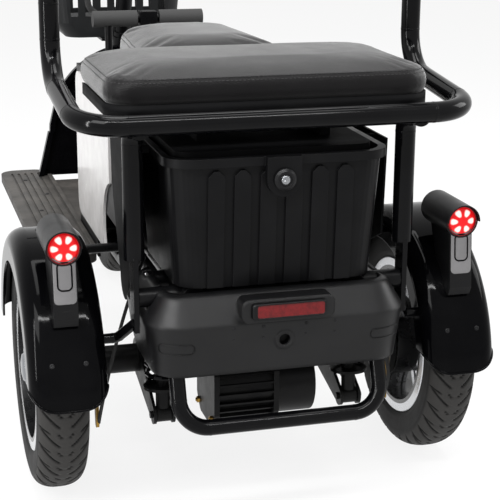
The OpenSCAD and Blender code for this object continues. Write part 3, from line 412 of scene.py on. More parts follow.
@dataclass(frozen=True)
class Finish:
    """A real material and the look it has on this tricycle.

    Attributes:
        name: what the stuff is.
        colour: main tone.
        other: tone of the paler or worn patches.
        roughness: middle roughness.
        surface: how the skin was made.
        relief_mm: width of one bump of the relief.
        depth_mm: height of the relief.
        patch_mm: size of the tone patches.
        metallic: 1 for bare metal.
        coat: weight of a clear coat.
        specular: specular level of the base.
        sheen: weight of the soft sheen.
        spread: how far the roughness wanders.
        edge_mm: radius by which light rounds the edges.
    """

    name: str
    colour: str
    other: str
    roughness: float
    surface: Surface
    relief_mm: float
    depth_mm: float
    patch_mm: float = 90.0
    metallic: float = 0.0
    coat: float = 0.0
    specular: float = 0.5
    sheen: float = 0.0
    spread: float = 0.06
    edge_mm: float = 1.2

    def relief(self, tree: bpy.types.NodeTree, coord: bpy.types.NodeSocket) -> bpy.types.NodeSocket:
        """Draw the skin's height pattern.

        Args:
            tree: the material's nodes.
            coord: where the pattern is read.

        Returns:
            A height from about 0 to 1.
        """
        scale = 1.0 / (self.relief_mm * MM)
        if self.surface is Surface.HIDE:
            given = {"Vector": coord, "Scale": scale}
            cells = add(tree, "ShaderNodeTexVoronoi", given, feature="DISTANCE_TO_EDGE")
            flat = ramp(tree, cells.outputs["Distance"], 0.0, 0.28)
            # Creases about 40 mm long lie over the grain
            crease = noise(tree, coord, 25.0, 5.0, 0.62)
            return worked(tree, "MULTIPLY_ADD", crease, 1.6, flat)
        if self.surface is Surface.DRAWN:
            stretched = add(tree, "ShaderNodeMapping", {"Vector": coord, "Scale": (0.06, 1.0, 1.0)})
            return noise(tree, stretched.outputs["Vector"], scale, 3.0)
        detail = {Surface.SPRAYED: 1.0, Surface.GRAINED: 6.0}.get(self.surface, 3.0)
        return noise(tree, coord, scale, detail, 0.55)

    def tone(self, tree: bpy.types.NodeTree, coord: bpy.types.NodeSocket) -> bpy.types.NodeSocket:
        """Mix the two tones in soft patches.

        Args:
            tree: the material's nodes.
            coord: where the pattern is read.

        Returns:
            The colour.
        """
        patch = noise(tree, coord, 1.0 / (self.patch_mm * MM), 6.0, 0.6)
        share = ramp(tree, patch, 0.38, 0.72)
        return mixed(tree, share, linear(self.colour), linear(self.other))

    def material(self) -> bpy.types.Material:
        """Build the node material.

        Returns:
            The material, made once and shared.
        """
        known = bpy.data.materials.get(self.name)
        if known is not None:
            return known
        made = bpy.data.materials.new(self.name)
        made.use_nodes = True
        tree = made.node_tree
        tree.nodes.clear()
        coord = add(tree, "ShaderNodeTexCoord").outputs["Object"]
        height = self.relief(tree, coord)
        rounded = add(tree, "ShaderNodeBevel", {"Radius": self.edge_mm * MM}, samples=4)
        bump = add(
            tree,
            "ShaderNodeBump",
            {
                "Height": height,
                "Strength": 1.0,
                "Distance": self.depth_mm * MM,
                "Normal": rounded.outputs["Normal"],
            },
        )
        # The roughness wanders in patches of about 45 mm
        wander = noise(tree, coord, 22.0, 5.0, 0.65)
        ends = (max(self.roughness - self.spread, 0.02), self.roughness + self.spread)
        rough = ramp(tree, wander, 0.3, 0.7, ends, "LINEAR")
        shader = add(
            tree,
            "ShaderNodeBsdfPrincipled",
            {
                "Base Color": self.tone(tree, coord),
                "Roughness": rough,
                "Metallic": self.metallic,
                "Specular IOR Level": self.specular,
                "Coat Weight": self.coat,
                "Coat Roughness": 0.06,
                "Sheen Weight": self.sheen,
                "Sheen Roughness": 0.4,
                "Normal": bump.outputs["Normal"],
            },
        )
        self.finish_off(tree, shader, coord)
        add(tree, "ShaderNodeOutputMaterial", {"Surface": shader.outputs["BSDF"]})
        return made

    def finish_off(
        self, tree: bpy.types.NodeTree, shader: bpy.types.Node, coord: bpy.types.NodeSocket
    ) -> None:
        """Leave the plain finish as it is; kinds of finish add to it here."""


@dataclass(frozen=True)
class MachinedWheel(Finish):
    """Cast alloy painted black, with the rim flange and the spokes' faces turned bright.

    Attributes:
        centre: the wheel's middle.
        bright: colour of the turned metal.
        flange_mm: radius past which the rim is bright.
        face_mm: distance from the wheel's middle plane past which a spoke is bright.
        back_mm: distance from that plane past which it is no spoke.
        hub_mm: radius of the hub, inside which the paint stays.
        spoke_mm: radius at which the spokes end.
    """

    centre: tuple[float, float, float] = (0.0, 0.0, 0.0)
    bright: str = "#d2d3d6"
    flange_mm: float = 125.0
    face_mm: float = 2.0
    back_mm: float = 9.5
    hub_mm: float = 38.5
    spoke_mm: float = 117.0

    def finish_off(
        self, tree: bpy.types.NodeTree, shader: bpy.types.Node, coord: bpy.types.NodeSocket
    ) -> None:
        """Turn the flange and the spokes' faces to bare metal by their place on the wheel."""
        local = add(tree, "ShaderNodeVectorMath", {0: coord, 1: self.centre}, operation="SUBTRACT")
        part = add(tree, "ShaderNodeSeparateXYZ", {"Vector": local.outputs["Vector"]})
        flat = add(tree, "ShaderNodeCombineXYZ", {"Y": part.outputs["Y"], "Z": part.outputs["Z"]})
        radius = add(tree, "ShaderNodeVectorMath", {0: flat.outputs["Vector"]}, operation="LENGTH")
        radius = radius.outputs["Value"]
        side = worked(tree, "ABSOLUTE", part.outputs["X"])
        metal = worked(tree, "GREATER_THAN", side, self.face_mm * MM)
        for test, value, edge in (
            ("LESS_THAN", radius, self.spoke_mm),
            ("GREATER_THAN", radius, self.hub_mm),
            ("LESS_THAN", side, self.back_mm),
        ):
            metal = worked(tree, "MULTIPLY", metal, worked(tree, test, value, edge * MM))
        metal = worked(tree, "MAXIMUM", metal, worked(tree, "GREATER_THAN", radius, self.flange_mm * MM))
        base = shader.inputs["Base Color"].links[0].from_socket
        tree.links.new(mixed(tree, metal, base, linear(self.bright)), shader.inputs["Base Color"])
        tree.links.new(metal, shader.inputs["Metallic"])


@dataclass(frozen=True)
class TreadRubber(Finish):
    """Tyre rubber toned by the tyre's own map of groove depth and crown: dust on the crown and painted shade in
    the grooves.

    Attributes:
        dusty: tone of the running face.
        painted_groove_shade: painted shade, the tone at the bottom of a groove.
    """

    dusty: str = "#2f2e2d"
    # Painted shade at the bottom of a groove
    painted_groove_shade: str = "#060606"

    def finish_off(
        self, tree: bpy.types.NodeTree, shader: bpy.types.Node, coord: bpy.types.NodeSocket
    ) -> None:
        """Lighten the running face with dust and darken the grooves with painted shade."""
        place = add(tree, "ShaderNodeUVMap", uv_map="pattern")
        part = add(tree, "ShaderNodeSeparateXYZ", {"Vector": place.outputs["UV"]})
        base = shader.inputs["Base Color"].links[0].from_socket
        face = mixed(tree, part.outputs["Y"], base, linear(self.dusty))
        # The grooves are darkened by their depth as painted shade
        toned = mixed(tree, part.outputs["X"], face, linear(self.painted_groove_shade))
        tree.links.new(toned, shader.inputs["Base Color"])


@dataclass(frozen=True)
class LitLens(Finish):
    """Red polycarbonate over a ring of lit chips, read from the lens's own map of angle and radius.

    Attributes:
        chips: number of bright chips round the ring.
        glow: strength of the light over a chip.
        dim: strength of the light between the chips.
        between: colour between the chips.
        bright: colour over a chip.
    """

    chips: int = 6
    glow: float = 1.5
    dim: float = 0.75
    between: str = "#c81218"
    bright: str = "#ffd9d2"

    def finish_off(
        self, tree: bpy.types.NodeTree, shader: bpy.types.Node, coord: bpy.types.NodeSocket
    ) -> None:
        """Light lobes round the ring, a dimmer middle and a dark red border."""
        place = add(tree, "ShaderNodeUVMap", uv_map="pattern")
        part = add(tree, "ShaderNodeSeparateXYZ", {"Vector": place.outputs["UV"]})
        turn = worked(tree, "MULTIPLY", part.outputs["X"], 2.0 * math.pi * self.chips)
        lobe = ramp(tree, worked(tree, "COSINE", turn), -1.0, 0.7, kind="LINEAR")
        # The ring of chips starts and ends at shares of the lens's radius
        inner = ramp(tree, part.outputs["Y"], 0.2, 0.56)
        outer = ramp(tree, part.outputs["Y"], 0.64, 1.0, (1.0, 0.0))
        ring = worked(tree, "MULTIPLY", inner, outer)
        chip = ramp(tree, worked(tree, "MULTIPLY", ring, lobe), 0.18, 0.72)
        light = mixed(tree, chip, linear(self.between), linear(self.bright))
        level = ramp(tree, chip, 0.0, 1.0, (self.dim, self.glow), "LINEAR")
        tree.links.new(light, shader.inputs["Emission Color"])
        tree.links.new(level, shader.inputs["Emission Strength"])


class Stuff:
    """The finishes of the tricycle, each named for what it is made of."""

    # Powder-coated tube: satin black with a slight orange peel
    powder = Finish(
        "powder_coat_black", "#080809", "#0e0e0f", 0.3, Surface.SPRAYED, 2.2, 0.03, specular=0.1
    )
    # Gloss stoved enamel on the seat rail: deep black with sharp streaks of light
    enamel = Finish(
        "stoved_enamel_black", "#040405", "#070708", 0.12, Surface.SPRAYED, 5.0, 0.02,
        specular=0.12, spread=0.03,
    )
    # Chassis paint over castings: satin, a little dusty
    casting = Finish(
        "painted_casting", "#070708", "#10100f", 0.4, Surface.GRAINED, 2.4, 0.12, patch_mm=35, specular=0.12
    )
    # Polypropylene bumper with an etched grain
    bumper = Finish(
        "etched_polypropylene", "#09090a", "#0e0e0f", 0.37, Surface.GRAINED, 1.6, 0.05,
        specular=0.26, edge_mm=9.0,
    )
    # Satin ABS of the storage box
    box = Finish(
        "satin_abs", "#080809", "#0d0d0e", 0.36, Surface.GRAINED, 1.8, 0.04, specular=0.1, edge_mm=1.5
    )
    # Matt ABS of the lid, which stays dark under the seat
    lid = Finish("matt_abs", "#080809", "#0d0d0e", 0.62, Surface.GRAINED, 1.8, 0.06, specular=0.06)
    # Ribbed polypropylene foot boards, scuffed paler
    board = Finish(
        "scuffed_polypropylene", "#343230", "#464340", 0.55, Surface.GRAINED, 1.6, 0.08,
        patch_mm=60, specular=0.2,
    )
    # Gloss ABS fenders with a lacquered look
    gloss = Finish(
        "gloss_abs", "#030304", "#060607", 0.08, Surface.SPRAYED, 14.0, 0.03, specular=0.05, spread=0.03
    )
    # Textured ABS of the lamp stands
    stand = Finish(
        "textured_abs", "#0a0a0b", "#101011", 0.34, Surface.GRAINED, 1.2, 0.04, specular=0.14, edge_mm=2.0
    )
    # Grey face plates on the lamp stands: the grey is a painted reflection on the black stand
    plate = Finish(
        "grey_abs_painted_reflection", "#5f5e5f", "#6a696a", 0.34, Surface.GRAINED, 0.9, 0.02, specular=0.4, edge_mm=0.8
    )
    # Black basket moulding
    basket = Finish(
        "black_polypropylene", "#111213", "#191a1b", 0.48, Surface.GRAINED, 1.6, 0.06, specular=0.22
    )
    # White ABS side panels
    white = Finish(
        "white_abs", "#c0bebd", "#c9c7c6", 0.22, Surface.SPRAYED, 9.0, 0.02, coat=0.25, specular=0.4
    )
    # Leatherette cover: small pressed cells with a soft sheen
    cover = Finish(
        "black_leatherette", "#070607", "#0c0b0c", 0.36, Surface.HIDE, 2.4, 0.1,
        patch_mm=70, specular=0.11, sheen=0.42,
    )
    # Polyester sewing thread
    thread = Finish("polyester_thread", "#242324", "#302f30", 0.55, Surface.CURED, 0.6, 0.05, specular=0.3)
    # Tyre rubber: black sidewalls, a dusty grey tread and painted shade in the grooves
    tyre = TreadRubber(
        "tyre_rubber", "#131313", "#1e1d1d", 0.6, Surface.CURED, 1.4, 0.06, patch_mm=45, specular=0.14
    )
    # Soft grip rubber
    grip = Finish("grip_rubber", "#111111", "#191919", 0.6, Surface.CURED, 0.9, 0.06, specular=0.2)
    # Turned steel of axle, hub caps and nuts
    steel = Finish("turned_steel", "#8d8f92", "#a6a8ab", 0.28, Surface.DRAWN, 0.8, 0.02, metallic=1.0)
    # Yellow-passivated zinc on levers and bolts
    zinc = Finish(
        "yellow_zinc", "#a5833f", "#8b6f3c", 0.36, Surface.CURED, 3.0, 0.02, patch_mm=12, metallic=1.0
    )
    # Black oxide screws and lock
    oxide = Finish(
        "black_oxide_steel", "#151516", "#222223", 0.32, Surface.CURED, 0.8, 0.02,
        metallic=0.4, specular=0.2,
    )
    # Red acrylic of the bar reflector
    reflector = Finish(
        "red_acrylic", "#5f0d10", "#48090b", 0.18, Surface.SPRAYED, 3.2, 0.3, patch_mm=9, specular=0.25
    )
    # Lit tail lamp lens
    lamp = LitLens(
        "lit_red_polycarbonate", "#a80f12", "#860a0d", 0.12, Surface.SPRAYED, 6.0, 0.02, specular=0.2
    )
    # Clear headlamp lens over a bright reflector
    clear = Finish(
        "clear_polycarbonate", "#c9ced2", "#dde2e5", 0.08, Surface.DRAWN, 5.0, 0.15, metallic=0.75, coat=0.8
    )
    # Dark glass over the display
    glass = Finish(
        "display_glass", "#050607", "#08090b", 0.05, Surface.SPRAYED, 20.0, 0.005,
        coat=0.5, specular=0.3, spread=0.02,
    )
    # Battery case
    battery = Finish("battery_polypropylene", "#26292d", "#303338", 0.5, Surface.GRAINED, 1.8, 0.05)


CAD_FINISH: dict[str, Finish] = {
    **dict.fromkeys(("main_frame", "hinge_ears", "fork", "grab_bar", "handlebar"), Stuff.powder),
    "seat_pan": Stuff.lid,
    **dict.fromkeys(("seat_rail", "rear_guard", "shock_springs"), Stuff.enamel),
    **dict.fromkeys(("rear_axle", "shock_dampers", "motor"), Stuff.casting),
    "brake_arms": Stuff.zinc,
    "front_axle": Stuff.steel,
    "box_lock": Stuff.oxide,
    "bumper": Stuff.bumper,
    **dict.fromkeys(("foot_board_left", "foot_board_right", "floor_plate"), Stuff.board),
    **dict.fromkeys(("storage_box", "seat_pedestal", "display", "brake_levers"), Stuff.box),
    "basket": Stuff.basket,
    **dict.fromkeys(("fender_left", "fender_right", "front_fender"), Stuff.gloss),
    **dict.fromkeys(("leg_shield", "headlamp"), Stuff.gloss),
    **dict.fromkeys(("side_cover_left", "side_cover_right"), Stuff.lid),
    **dict.fromkeys(("lamp_left", "lamp_right"), Stuff.stand),
    "box_lid": Stuff.lid,
    "reflector": Stuff.reflector,
    "headlamp_lens": Stuff.clear,
    **dict.fromkeys(("side_panel_left", "side_panel_right"), Stuff.white),
    "battery_block": Stuff.battery,
    **dict.fromkeys(("grab_grips", "hand_grips", "cable_loom"), Stuff.grip),
}


def dress(piece: bpy.types.Object, finish: Finish) -> None:
    """Give an object one finish in place of what it has.

    Args:
        piece: the object.
        finish: what it is made of.
    """
    slots = piece.data.materials
    made = finish.material()
    if len(slots) == 0:
        slots.append(made)
    for number in range(len(slots)):
        slots[number] = made


def fit(
    piece: bpy.types.Object, body: str, slot: str, finish: Finish, *stands_for: str
) -> bpy.types.Object:
    """Dress a new piece, let it ride on a body and hide the CAD nodes that it replaces.

    Args:
        piece: the new object.
        body: the body that it moves with.
        slot: the record's slot for its finish; not used.
        finish: what it is made of.
        stands_for: CAD nodes that it replaces.

    Returns:
        The same object.
    """
    dress(piece, finish)
    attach(piece, body)
    if stands_for:
        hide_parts(*stands_for)
    LOG.info("%s rides on %s", piece.name, body)
    return piece


# Sub-assemblies


@dataclass
class Tyre:
    """A road tyre with a directional tread, in the place of its plain solid.

    Attributes:
        node: the solid's name.
        body: the wheel's body.
        around: points round the tyre.
        across: points from bead to bead.
        pitches: tread blocks round the tyre.
        groove_mm: depth of the grooves.
        half_mm: half the width of a groove.
        rolling_mm: radius at which the length of a tread block is measured.
        bead_mm: radius of the beads.
        seat_mm: half the distance between the beads.
        flange_mm: radius of the rim's flange.
        sag_mm: how far the widest line lies inside the sidewall's middle.
        sweep_deg: how far the section turns from the crown to a bead.
        rib_mm: height of the ribs on the sidewalls.
    """

    node: str
    body: str
    around: int = 960
    across: int = 64
    pitches: int = 34
    groove_mm: float = 3.2
    half_mm: float = 2.3
    rolling_mm: float = 202.0
    bead_mm: float = 133.6
    seat_mm: float = 32.4
    flange_mm: float = 140.0
    sag_mm: float = 4.0
    sweep_deg: float = 131.0
    rib_mm: float = 0.9

    def section(self, width: float, outer: float) -> Array:
        """Draw the section from bead to bead: a flat crown arc, round shoulders and sidewalls that draw in.

        The section is a superellipse of power 2.5 about the tyre's widest radius, cut at the beads.

        Args:
            width: whole width of the tyre.
            outer: its outer radius.

        Returns:
            Radius and sideways place of each point.
        """
        bead, seat = self.bead_mm * MM, self.seat_mm * MM
        half = width / 2.0
        widest = (outer + self.flange_mm * MM) / 2.0 - self.sag_mm * MM
        a = np.linspace(-1.0, 1.0, self.across) * math.radians(self.sweep_deg)
        power = 2.0 / 2.5
        side = np.sign(np.sin(a)) * np.abs(np.sin(a)) ** power * half
        lift = np.sign(np.cos(a)) * np.abs(np.cos(a)) ** power
        radius = np.where(
            lift > 0, widest + lift * (outer - widest), widest + lift * (widest - bead) * 1.25
        )
        low = radius < (self.flange_mm + 1.0) * MM
        side = np.where(low, np.clip(side, -seat, seat), side)
        return np.stack([np.maximum(radius, bead), side], 1)

    def tread(self, angle: Array, place: Array) -> Array:
        """Cut curved grooves that trail away from the middle, short ones between them and a thin centre line.

        A groove follows angle times pitches plus a curve of the distance from the middle; its depth
        fades with smooth steps at both ends and falls off across its width.

        Args:
            angle: angle round the tyre of each point.
            place: sideways place, minus 1 to 1 over the crown.

        Returns:
            Depth in metres.
        """
        reach = np.abs(place)
        block = 2.0 * math.pi * self.rolling_mm / self.pitches
        depth = np.zeros_like(reach + angle)
        # Each row: offset in blocks, start and end across, bend, width share
        for offset, start, stop, bend, share in (
            (0.0, 0.2, 1.12, 0.95, 1.0),
            (0.5, 0.1, 0.42, 1.5, 0.8),
            (0.55, 0.62, 1.18, 0.5, 0.8),
        ):
            phase = angle * self.pitches / (2.0 * math.pi) + bend * reach**1.35 + offset
            off = np.abs(phase - np.round(phase)) * block
            ends = smooth_step(start, start + 0.1, reach) * (1.0 - smooth_step(stop - 0.14, stop, reach))
            half = self.half_mm * share
            depth = np.maximum(depth, (1.0 - smooth_step(half * 0.55, half * 1.35, off)) * ends)
        # The centre line is about a third as deep
        line = (1.0 - smooth_step(0.012, 0.03, reach)) * 0.35
        return np.maximum(depth, line) * self.groove_mm * MM

    def build(self) -> bpy.types.Object:
        """Sweep the section round the wheel and sink the tread into it.

        Returns:
            The tyre.
        """
        low, high = (np.array(c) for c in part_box(self.node))
        centre, width, outer = (low + high) / 2.0, high[0] - low[0], (high[2] - low[2]) / 2.0
        ring = self.section(width, outer)
        angle = np.linspace(0.0, 2.0 * math.pi, self.around, endpoint=False)[:, None]
        crown = ring[:, 1] / (width * 0.43)
        # The tread runs out on the shoulder
        top = smooth_step(outer - 26.0 * MM, outer - 19.0 * MM, ring[:, 0])
        # Two low ribs run round each sidewall
        rib = self.rib_mm * MM
        ribs = sum(np.exp(-(((ring[:, 0] - r * MM) / (1.6 * MM)) ** 2)) for r in (149.0, 176.0)) * rib
        depth = self.tread(angle, crown[None, :]) * top[None, :]
        radius = ring[None, :, 0] - depth
        proud = (ribs - rib) * (1.0 - top)
        side = (ring[:, 1] + np.sign(ring[:, 1]) * proud)[None, :] + 0.0 * angle
        points = np.stack(
            [centre[0] + side, centre[1] + radius * np.cos(angle), centre[2] + radius * np.sin(angle)], -1
        )
        # The map holds groove depth for the painted shade in the grooves and the crown share for the dusty
        # running face
        dust_and_groove_shade_map = np.stack([depth / (self.groove_mm * MM), np.broadcast_to(top[None, :], depth.shape)], -1)
        piece = new_object(
            f"{self.node}_tread", points, grid_faces(self.around, self.across, True, True), dust_and_groove_shade_map
        )
        face_outwards(piece)
        return fit(piece, self.body, "tyre", Stuff.tyre, self.node)


# Stitches in metres: the step from one to the next, and half the length, width and height of each
STITCH_STEP = 0.0065
STITCH_LONG = 0.0022
STITCH_WIDE = 0.00055
STITCH_HIGH = 0.0004


@dataclass
class Cushion:
    """A sewn pad: it is lofted small, blown up as cloth with its seam held, and stitched along the seam.

    Attributes:
        node: the plain solid's name.
        body: the body that it moves with.
        corner: corner radius of its outline in metres.
        narrow: width of the far end as a share of the near end's.
        seam: height of the seam as a share of the thickness.
        rise: which way the cushion faces, z for seats and y for a back rest.
        cap: furthest that the cloth may move in metres.
        fill: how full the pad is.
        shade_skirt: how far a matt black band below the base's edge hangs below the resting face at the back
            and the sides, in metres; its darkness is painted shade under the seat.
        count: points round the outline.
        steps: steps of the cloth's motion.
        frame: the pad's own axes as columns.
    """

    node: str
    body: str
    corner: float
    narrow: float = 1.0
    seam: float = 0.7
    rise: str = "z"
    cap: float = 0.007
    fill: float = 0.85
    shade_skirt: float = 0.0
    count: int = 240
    steps: int = 20
    frame: Array = field(default_factory=lambda: np.eye(3))

    def local_box(self) -> tuple[Array, Array, float]:
        """Give the middle of the resting face, the half sizes and the thickness in the pad's own axes."""
        low, high = (np.array(c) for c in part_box(self.node))
        middle = (low + high) / 2.0
        if self.rise == "z":
            self.frame = np.eye(3)
            base = np.array([middle[0], middle[1], low[2]])
        else:
            # The back rest faces forward: its own z runs along +Y and its own y along +Z
            self.frame = np.array([[-1.0, 0.0, 0.0], [0.0, 0.0, 1.0], [0.0, 1.0, 0.0]]).T
            base = np.array([middle[0], low[1], middle[2]])
        size = np.abs(self.frame.T @ (high - low))
        return base, size[:2] / 2.0, float(size[2])

    def outline(self, half: Array, inset: float) -> Array:
        """Draw the pad's outline, drawn in by an inset and narrowed towards the far end.

        Args:
            half: half width and half depth.
            inset: distance drawn in.

        Returns:
            Points x, y.
        """
        corner = min(max(self.corner - inset * 0.5, 0.012), float(min(half)) - inset)
        line = rounded_outline(half[0] - inset, half[1] - inset, corner, self.count)
        share = (line[:, 1] + half[1]) / (2.0 * half[1])
        line[:, 0] *= 1.0 + (self.narrow - 1.0) * share
        return line

    def build(self) -> bpy.types.Object:
        """Loft, swell and sew the pad.

        Returns:
            The cushion.
        """
        base, half, thick = self.local_box()
        lift = self.seam * thick
        # Rows from the resting face to the top: inset as a share of the smaller half size, then height
        # as a share of the thickness
        seam, seam_inset = self.seam, 0.045
        rows = np.array(
            [
                [0.99, 0.03], [0.7, 0.02], [0.2, 0.015], [0.08, 0.02],
                [0.03, 0.1], [0.012, 0.32], [0.012, 0.5], [0.03, seam - 0.06],
                [seam_inset, seam], [0.075, seam + 0.1], [0.13, seam + 0.18],
                [0.25, seam + 0.235], [0.6, seam + 0.265], [0.99, seam + 0.275],
            ]
        )
        reach = float(min(half))
        lines = [self.outline(half, min(share * reach, reach * 0.985)) for share in rows[:, 0]]
        heights = np.minimum(rows[:, 1], 0.985) * thick
        local = np.stack([raised(line, h) for line, h in zip(lines, heights)])
        count = local.shape[1]
        faces = grid_faces(len(local), count, False, True)
        ends = [list(range(count)), list(range((len(local) - 1) * count, len(local) * count))]
        points = local.reshape(-1, 3) @ self.frame.T + base
        piece = new_object(f"{self.node}_cover", points, [*faces.tolist(), *ends])
        face_outwards(piece)
        seam_line = self.outline(half, seam_inset * reach)
        self.even(piece)
        self.swell(piece, base, lift, thick)
        level = piece.modifiers.new("soft", "SUBSURF")
        level.levels = level.render_levels = 1
        fit(piece, self.body, "seat_cover", Stuff.cover, self.node)
        self.sew(piece, base, seam_line, lift)
        if self.shade_skirt > 0.0:
            self.hang(base, half)
        return piece

    def hang(self, base: Array, half: Array) -> None:
        """Hang a matt black band below the back and the two sides: it extends the seat's side, and its darkness
        is painted shade under the seat's edge.

        Args:
            base: middle of the resting face.
            half: half width and half depth.
        """
        outer, inner = self.outline(half, 0.002), self.outline(half, 0.006)
        start = int(np.argmax(outer[:, 1]))
        keep = np.flatnonzero(np.roll(outer, -start, 0)[:, 1] < half[1] - 0.06)
        outer, inner = (np.roll(line, -start, 0)[keep] for line in (outer, inner))
        levels = ((outer, 0.005), (outer, -self.shade_skirt), (inner, -self.shade_skirt), (inner, 0.005))
        points = np.stack([raised(line, h) for line, h in levels], 1) + base
        edge = new_object(
            f"{self.node}_shaded_base_edge", points.reshape(-1, 3), grid_faces(len(keep), 4, False, True).tolist()
        )
        face_outwards(edge)
        # The band's matt black is painted shade under the seat's edge
        fit(edge, self.body, "seat_cover", Stuff.lid)

    def even(self, piece: bpy.types.Object) -> None:
        """Turn the lofted cover into an even 5 mm mesh."""
        remesh = piece.modifiers.new("even", "REMESH")
        remesh.mode, remesh.voxel_size = "VOXEL", 0.005
        bpy.context.view_layer.objects.active = piece
        bpy.ops.object.modifier_apply(modifier="even")
        piece.data.shade_smooth()

    def swell(self, piece: bpy.types.Object, base: Array, lift: float, thick: float) -> None:
        """Blow the cover up as cloth while its seam and its resting face are held.

        Args:
            piece: the lofted cover, changed in place.
            base: middle of the resting face.
            lift: height of the seam.
            thick: the pad's thickness.
        """
        before = np.empty(len(piece.data.vertices) * 3, dtype=np.float32)
        piece.data.vertices.foreach_get("co", before)
        start = before.reshape(-1, 3).astype(float)
        height = (start - base) @ self.frame[:, 2]
        held = piece.vertex_groups.new(name="held")
        firm = np.flatnonzero(height < 0.12 * thick).tolist()
        sewn = np.flatnonzero(np.abs(height - lift) < 0.0032)
        held.add(firm, 1.0, "REPLACE")
        held.add(sewn.tolist(), 0.9, "REPLACE")
        cloth = piece.modifiers.new("blown", "CLOTH")
        cloth.settings.use_pressure = True
        cloth.settings.uniform_pressure_force = 4.0
        cloth.settings.vertex_group_mass = "held"
        cloth.settings.effector_weights.gravity = 0.0
        cloth.settings.quality = 4
        cloth.point_cache.frame_start, cloth.point_cache.frame_end = 1, self.steps
        scene = bpy.context.scene
        for step in range(1, self.steps + 1):
            scene.frame_set(step)
        blown = piece.evaluated_get(bpy.context.evaluated_depsgraph_get())
        after = np.empty(len(start) * 3, dtype=np.float32)
        blown.data.vertices.foreach_get("co", after)
        move = after.reshape(-1, 3).astype(float) - start
        far = np.linalg.norm(move, axis=1, keepdims=True)
        move *= np.minimum(1.0, self.cap / np.maximum(far, 1e-9))
        piece.modifiers.remove(cloth)
        scene.frame_set(1)
        ends = start + move
        level = (ends - base) @ self.frame[:, 2]
        # The resting face stays on its pan
        ends += np.outer(np.maximum(0.0006 - level, 0.0), self.frame[:, 2])
        piece.data.vertices.foreach_set("co", ends.astype(np.float32).ravel())
        piece.data.update()
        piece.data.shade_smooth()

    def sew(self, piece: bpy.types.Object, base: Array, line: Array, lift: float) -> None:
        """Lay a row of stitches on each side of the seam, where the swollen cover now is.

        Args:
            piece: the finished cover.
            base: middle of the resting face.
            line: the seam's outline before it swelled.
            lift: the seam's height.
        """
        corners = np.empty(len(piece.data.vertices) * 3, dtype=np.float32)
        piece.data.vertices.foreach_get("co", corners)
        tree = BVHTree.FromPolygons(
            corners.reshape(-1, 3).tolist(), [p.vertices[:] for p in piece.data.polygons]
        )
        whole = np.concatenate([line, line[:1]])
        walked = np.concatenate([[0.0], np.cumsum(np.linalg.norm(np.diff(whole, axis=0), axis=1))])
        spots, normals, runs = [], [], []
        want = np.arange(0.0, walked[-1], STITCH_STEP)
        flat = np.stack([np.interp(want, walked, whole[:, k]) for k in (0, 1)], 1)
        run = np.roll(flat, -1, 0) - np.roll(flat, 1, 0)
        # One row lies below the seam and one above it
        for offset in (-0.0035, 0.0045):
            guess = raised(flat, lift + offset) @ self.frame.T + base
            hits = [tree.find_nearest(Vector(p)) for p in guess]
            spots.append(np.array([h[0] for h in hits]))
            normals.append(np.array([h[1] for h in hits]))
            runs.append(raised(run, 0.0) @ self.frame.T)
        normal = np.concatenate(normals)
        a = np.linspace(0.0, 2.0 * math.pi, 6, endpoint=False)
        t = np.array([-1.0, -0.6, 0.6, 1.0])
        thin = np.array([0.25, 1.0, 1.0, 0.25])
        stitch = np.stack(
            [
                np.repeat(t, 6) * STITCH_LONG,
                np.outer(thin, np.cos(a)).ravel() * STITCH_WIDE,
                np.outer(thin, np.sin(a)).ravel() * STITCH_HIGH,
            ],
            1,
        )
        above = np.concatenate(spots) + normal * 0.0001
        turns = axes_from(normal, np.concatenate(runs))
        points, faces = copies(stitch, grid_faces(4, 6, False, True), above, turns)
        thread = new_object(f"{self.node}_stitches", points, faces.tolist())
        fit(thread, self.body, "seat_cover", Stuff.thread)


@dataclass
class TailLamp:
    """The domed red lens of one tail lamp and its rim.

    Attributes:
        side: left or right.
        dome_mm: height of the dome.
    """

    side: str
    dome_mm: float = 6.0

    def build(self) -> bpy.types.Object:
        """Raise a dome over the lens: height falls with the square of the radius, with a step at the border.

        Returns:
            The lens.
        """
        node = f"lens_{self.side}"
        low, high = (np.array(c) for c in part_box(node))
        centre, radius = (low + high) / 2.0, (high[0] - low[0]) / 2.0 - 0.2 * MM
        share = np.concatenate([[1.0, 1.0], np.linspace(1.0, 0.0, 40)])
        turn = np.linspace(0.0, 1.0, 97)
        r, t = np.meshgrid(share, turn, indexing="ij")
        # Six low waves run round the ring of chips
        facet = 0.35 * MM * np.cos(12.0 * math.pi * t) * smooth_step(0.3, 0.45, r)
        facet *= 1.0 - smooth_step(0.78, 0.92, r)
        bulge = self.dome_mm * MM * (1.0 - r**2) - 1.2 * MM * smooth_step(0.86, 0.95, r) + facet
        back = low[1] + 9.0 * MM - bulge
        back[0], back[1] = high[1] - 0.5 * MM, low[1] + 9.5 * MM
        a = 2.0 * math.pi * t
        points = np.stack(
            [centre[0] + radius * r * np.cos(a), back, centre[2] + radius * r * np.sin(a)], -1
        )
        piece = new_object(
            f"{node}_lit", points, grid_faces(*r.shape, False, False)[:, ::-1], np.stack([t, r], -1)
        )
        a = np.linspace(0.0, 2.0 * math.pi, 96, endpoint=False)
        edge = radius + 0.4 * MM
        path = np.stack(
            [centre[0] + edge * np.cos(a), np.full(96, low[1] + 7.0 * MM), centre[2] + edge * np.sin(a)], 1
        )
        rim, faces = tube(path, 1.1 * MM, 8, True, np.array([0.0, 1.0, 0.0]))
        fit(new_object(f"{node}_rim", rim, faces.tolist()), "chassis", "red_lens", Stuff.reflector)
        return fit(piece, "chassis", "red_lens", Stuff.lamp, node)


class Head(Enum):
    """What the visible end of a fastener looks like."""

    CROSS = "domed head with a sunk cross"
    HEX = "six-sided nut with a bolt's end in it"
    DOME = "plain dome"


